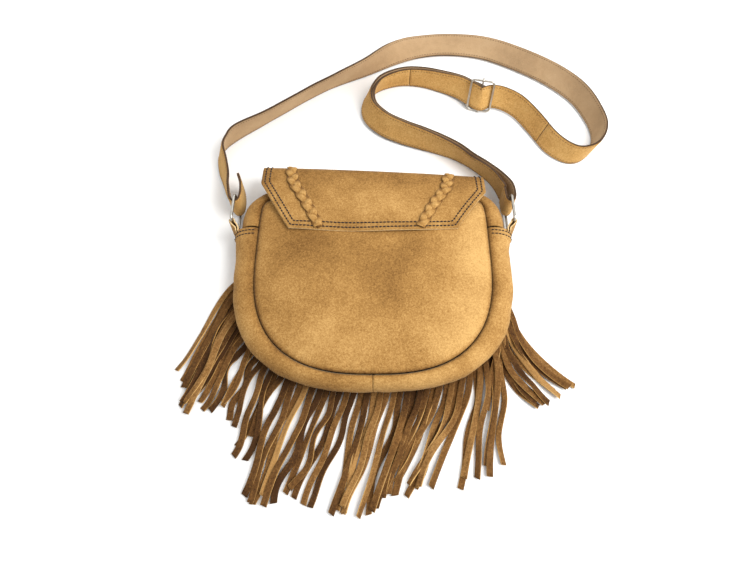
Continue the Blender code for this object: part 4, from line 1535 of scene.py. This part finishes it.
    def build_wrap(self, finishes: Finishes) -> None:
        """The strap's sewn end where it turns round the slider's centre bar."""
        hardware = Hardware()
        foot, travel, up = hardware.slider_axes()
        away = travel.cross(up).normalized()
        if away.y < 0:
            away = -away

        def place(u: float, v: float) -> Vector:
            turn = math.radians(mix(100, -95, u))
            spoke = away * math.sin(turn) * 2.9 - travel * math.cos(turn) * 2.6
            return foot + spoke + up * (3.6 + v * (self.width - 1.2))

        look = Look(finishes.strap, Slot.STRAP, thickness=1.1)
        look.side = 0.0
        look.rim = finishes.strap_edge
        make_piece("strap_bar_wrap", sheet_mesh(20, 8, place), look)


# ---------------------------------------------------------------- the studio


@dataclass
class Studio:
    """A pale floor, soft light and the camera."""

    target: Vector = field(default_factory=lambda: Vector((0.002, 0.0, 0.020)))
    distance: float = 0.583
    tilt: float = 28.0
    lens: float = 28.0

    def build(self) -> None:
        """Builds the floor, lights, world and camera."""
        self.build_floor()
        self.build_lights()
        self.build_camera()

    def build_floor(self) -> None:
        """A wide pale floor under the bag."""
        mesh = bmesh.new()
        bmesh.ops.create_grid(mesh, x_segments=1, y_segments=1, size=6.0)
        data = bpy.data.meshes.new("studio_floor")
        mesh.to_mesh(data)
        mesh.free()
        floor = bpy.data.objects.new("studio_floor", data)
        bpy.context.scene.collection.objects.link(floor)
        floor.location.z = -0.0004
        nodes = Nodes("studio_paper")
        tone = nodes.noise(3.0, 2.0)
        stops = ((0.3, (0.9, 0.9, 0.89)), (0.7, (0.93, 0.93, 0.92)))
        nodes.link(nodes.ramp(tone, stops), "Base Color")
        nodes.set(Roughness=0.9, Specular_IOR_Level=0.1)
        data.materials.append(nodes.material)

    def build_lights(self) -> None:
        """A large key light to the right and front, a fill and a pale world."""
        lamps = (
            ("key", (0.85, -0.25, 1.1), 0.9, 25.0),
            ("fill", (-0.9, 0.2, 1.2), 1.4, 4.0),
            ("back", (0.1, 1.1, 0.9), 1.0, 5.0),
        )
        for name, spot, size, power in lamps:
            light = bpy.data.lights.new(name, "AREA")
            light.size = size
            light.energy = power
            lamp = bpy.data.objects.new(name, light)
            bpy.context.scene.collection.objects.link(lamp)
            lamp.location = spot
            aim = self.target - Vector(spot)
            lamp.rotation_euler = aim.to_track_quat("-Z", "Y").to_euler()
        world = bpy.data.worlds.new("studio_air")
        world.use_nodes = True
        background = world.node_tree.nodes["Background"]
        background.inputs["Color"].default_value = (1.0, 1.0, 1.0, 1.0)
        background.inputs["Strength"].default_value = 0.6
        bpy.context.scene.world = world

    def build_camera(self) -> None:
        """The camera, above the bag and tilted forwards."""
        data = bpy.data.cameras.new("camera")
        data.lens = self.lens
        data.sensor_width = 36.0
        data.clip_start = 0.01
        camera = bpy.data.objects.new("camera", data)
        bpy.context.scene.collection.objects.link(camera)
        tilt = math.radians(self.tilt)
        forward = Vector((0.0, math.sin(tilt), -math.cos(tilt)))
        camera.location = self.target - forward * self.distance
        camera.rotation_euler = (tilt, 0.0, 0.0)
        bpy.context.scene.camera = camera


# ---------------------------------------------------------------- all together


def dress_nodes(finishes: Finishes) -> None:
    """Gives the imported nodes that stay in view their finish."""
    for name in ("snap_stud", "snap_socket"):
        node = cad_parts[name]
        node.data.materials.clear()
        node.data.materials.append(finishes.dark_metal)


def main() -> None:
    """Builds the studio and every sub-assembly."""
    logging.basicConfig(level=logging.INFO, format="%(name)s %(message)s")
    bpy.context.scene.view_settings.view_transform = "Standard"
    Studio().build()
    finishes = build_finishes()
    shell = BodyShell()
    shell.build(finishes)
    Zip(shell).build(finishes)
    flap = Flap(shell)
    sheet, *sewn = flap.build(finishes)
    fringe = Fringe(flap).build(finishes)
    Hardware().build(finishes)
    Strap().build(finishes)
    dress_nodes(finishes)


if __name__ == "__main__":
    main()
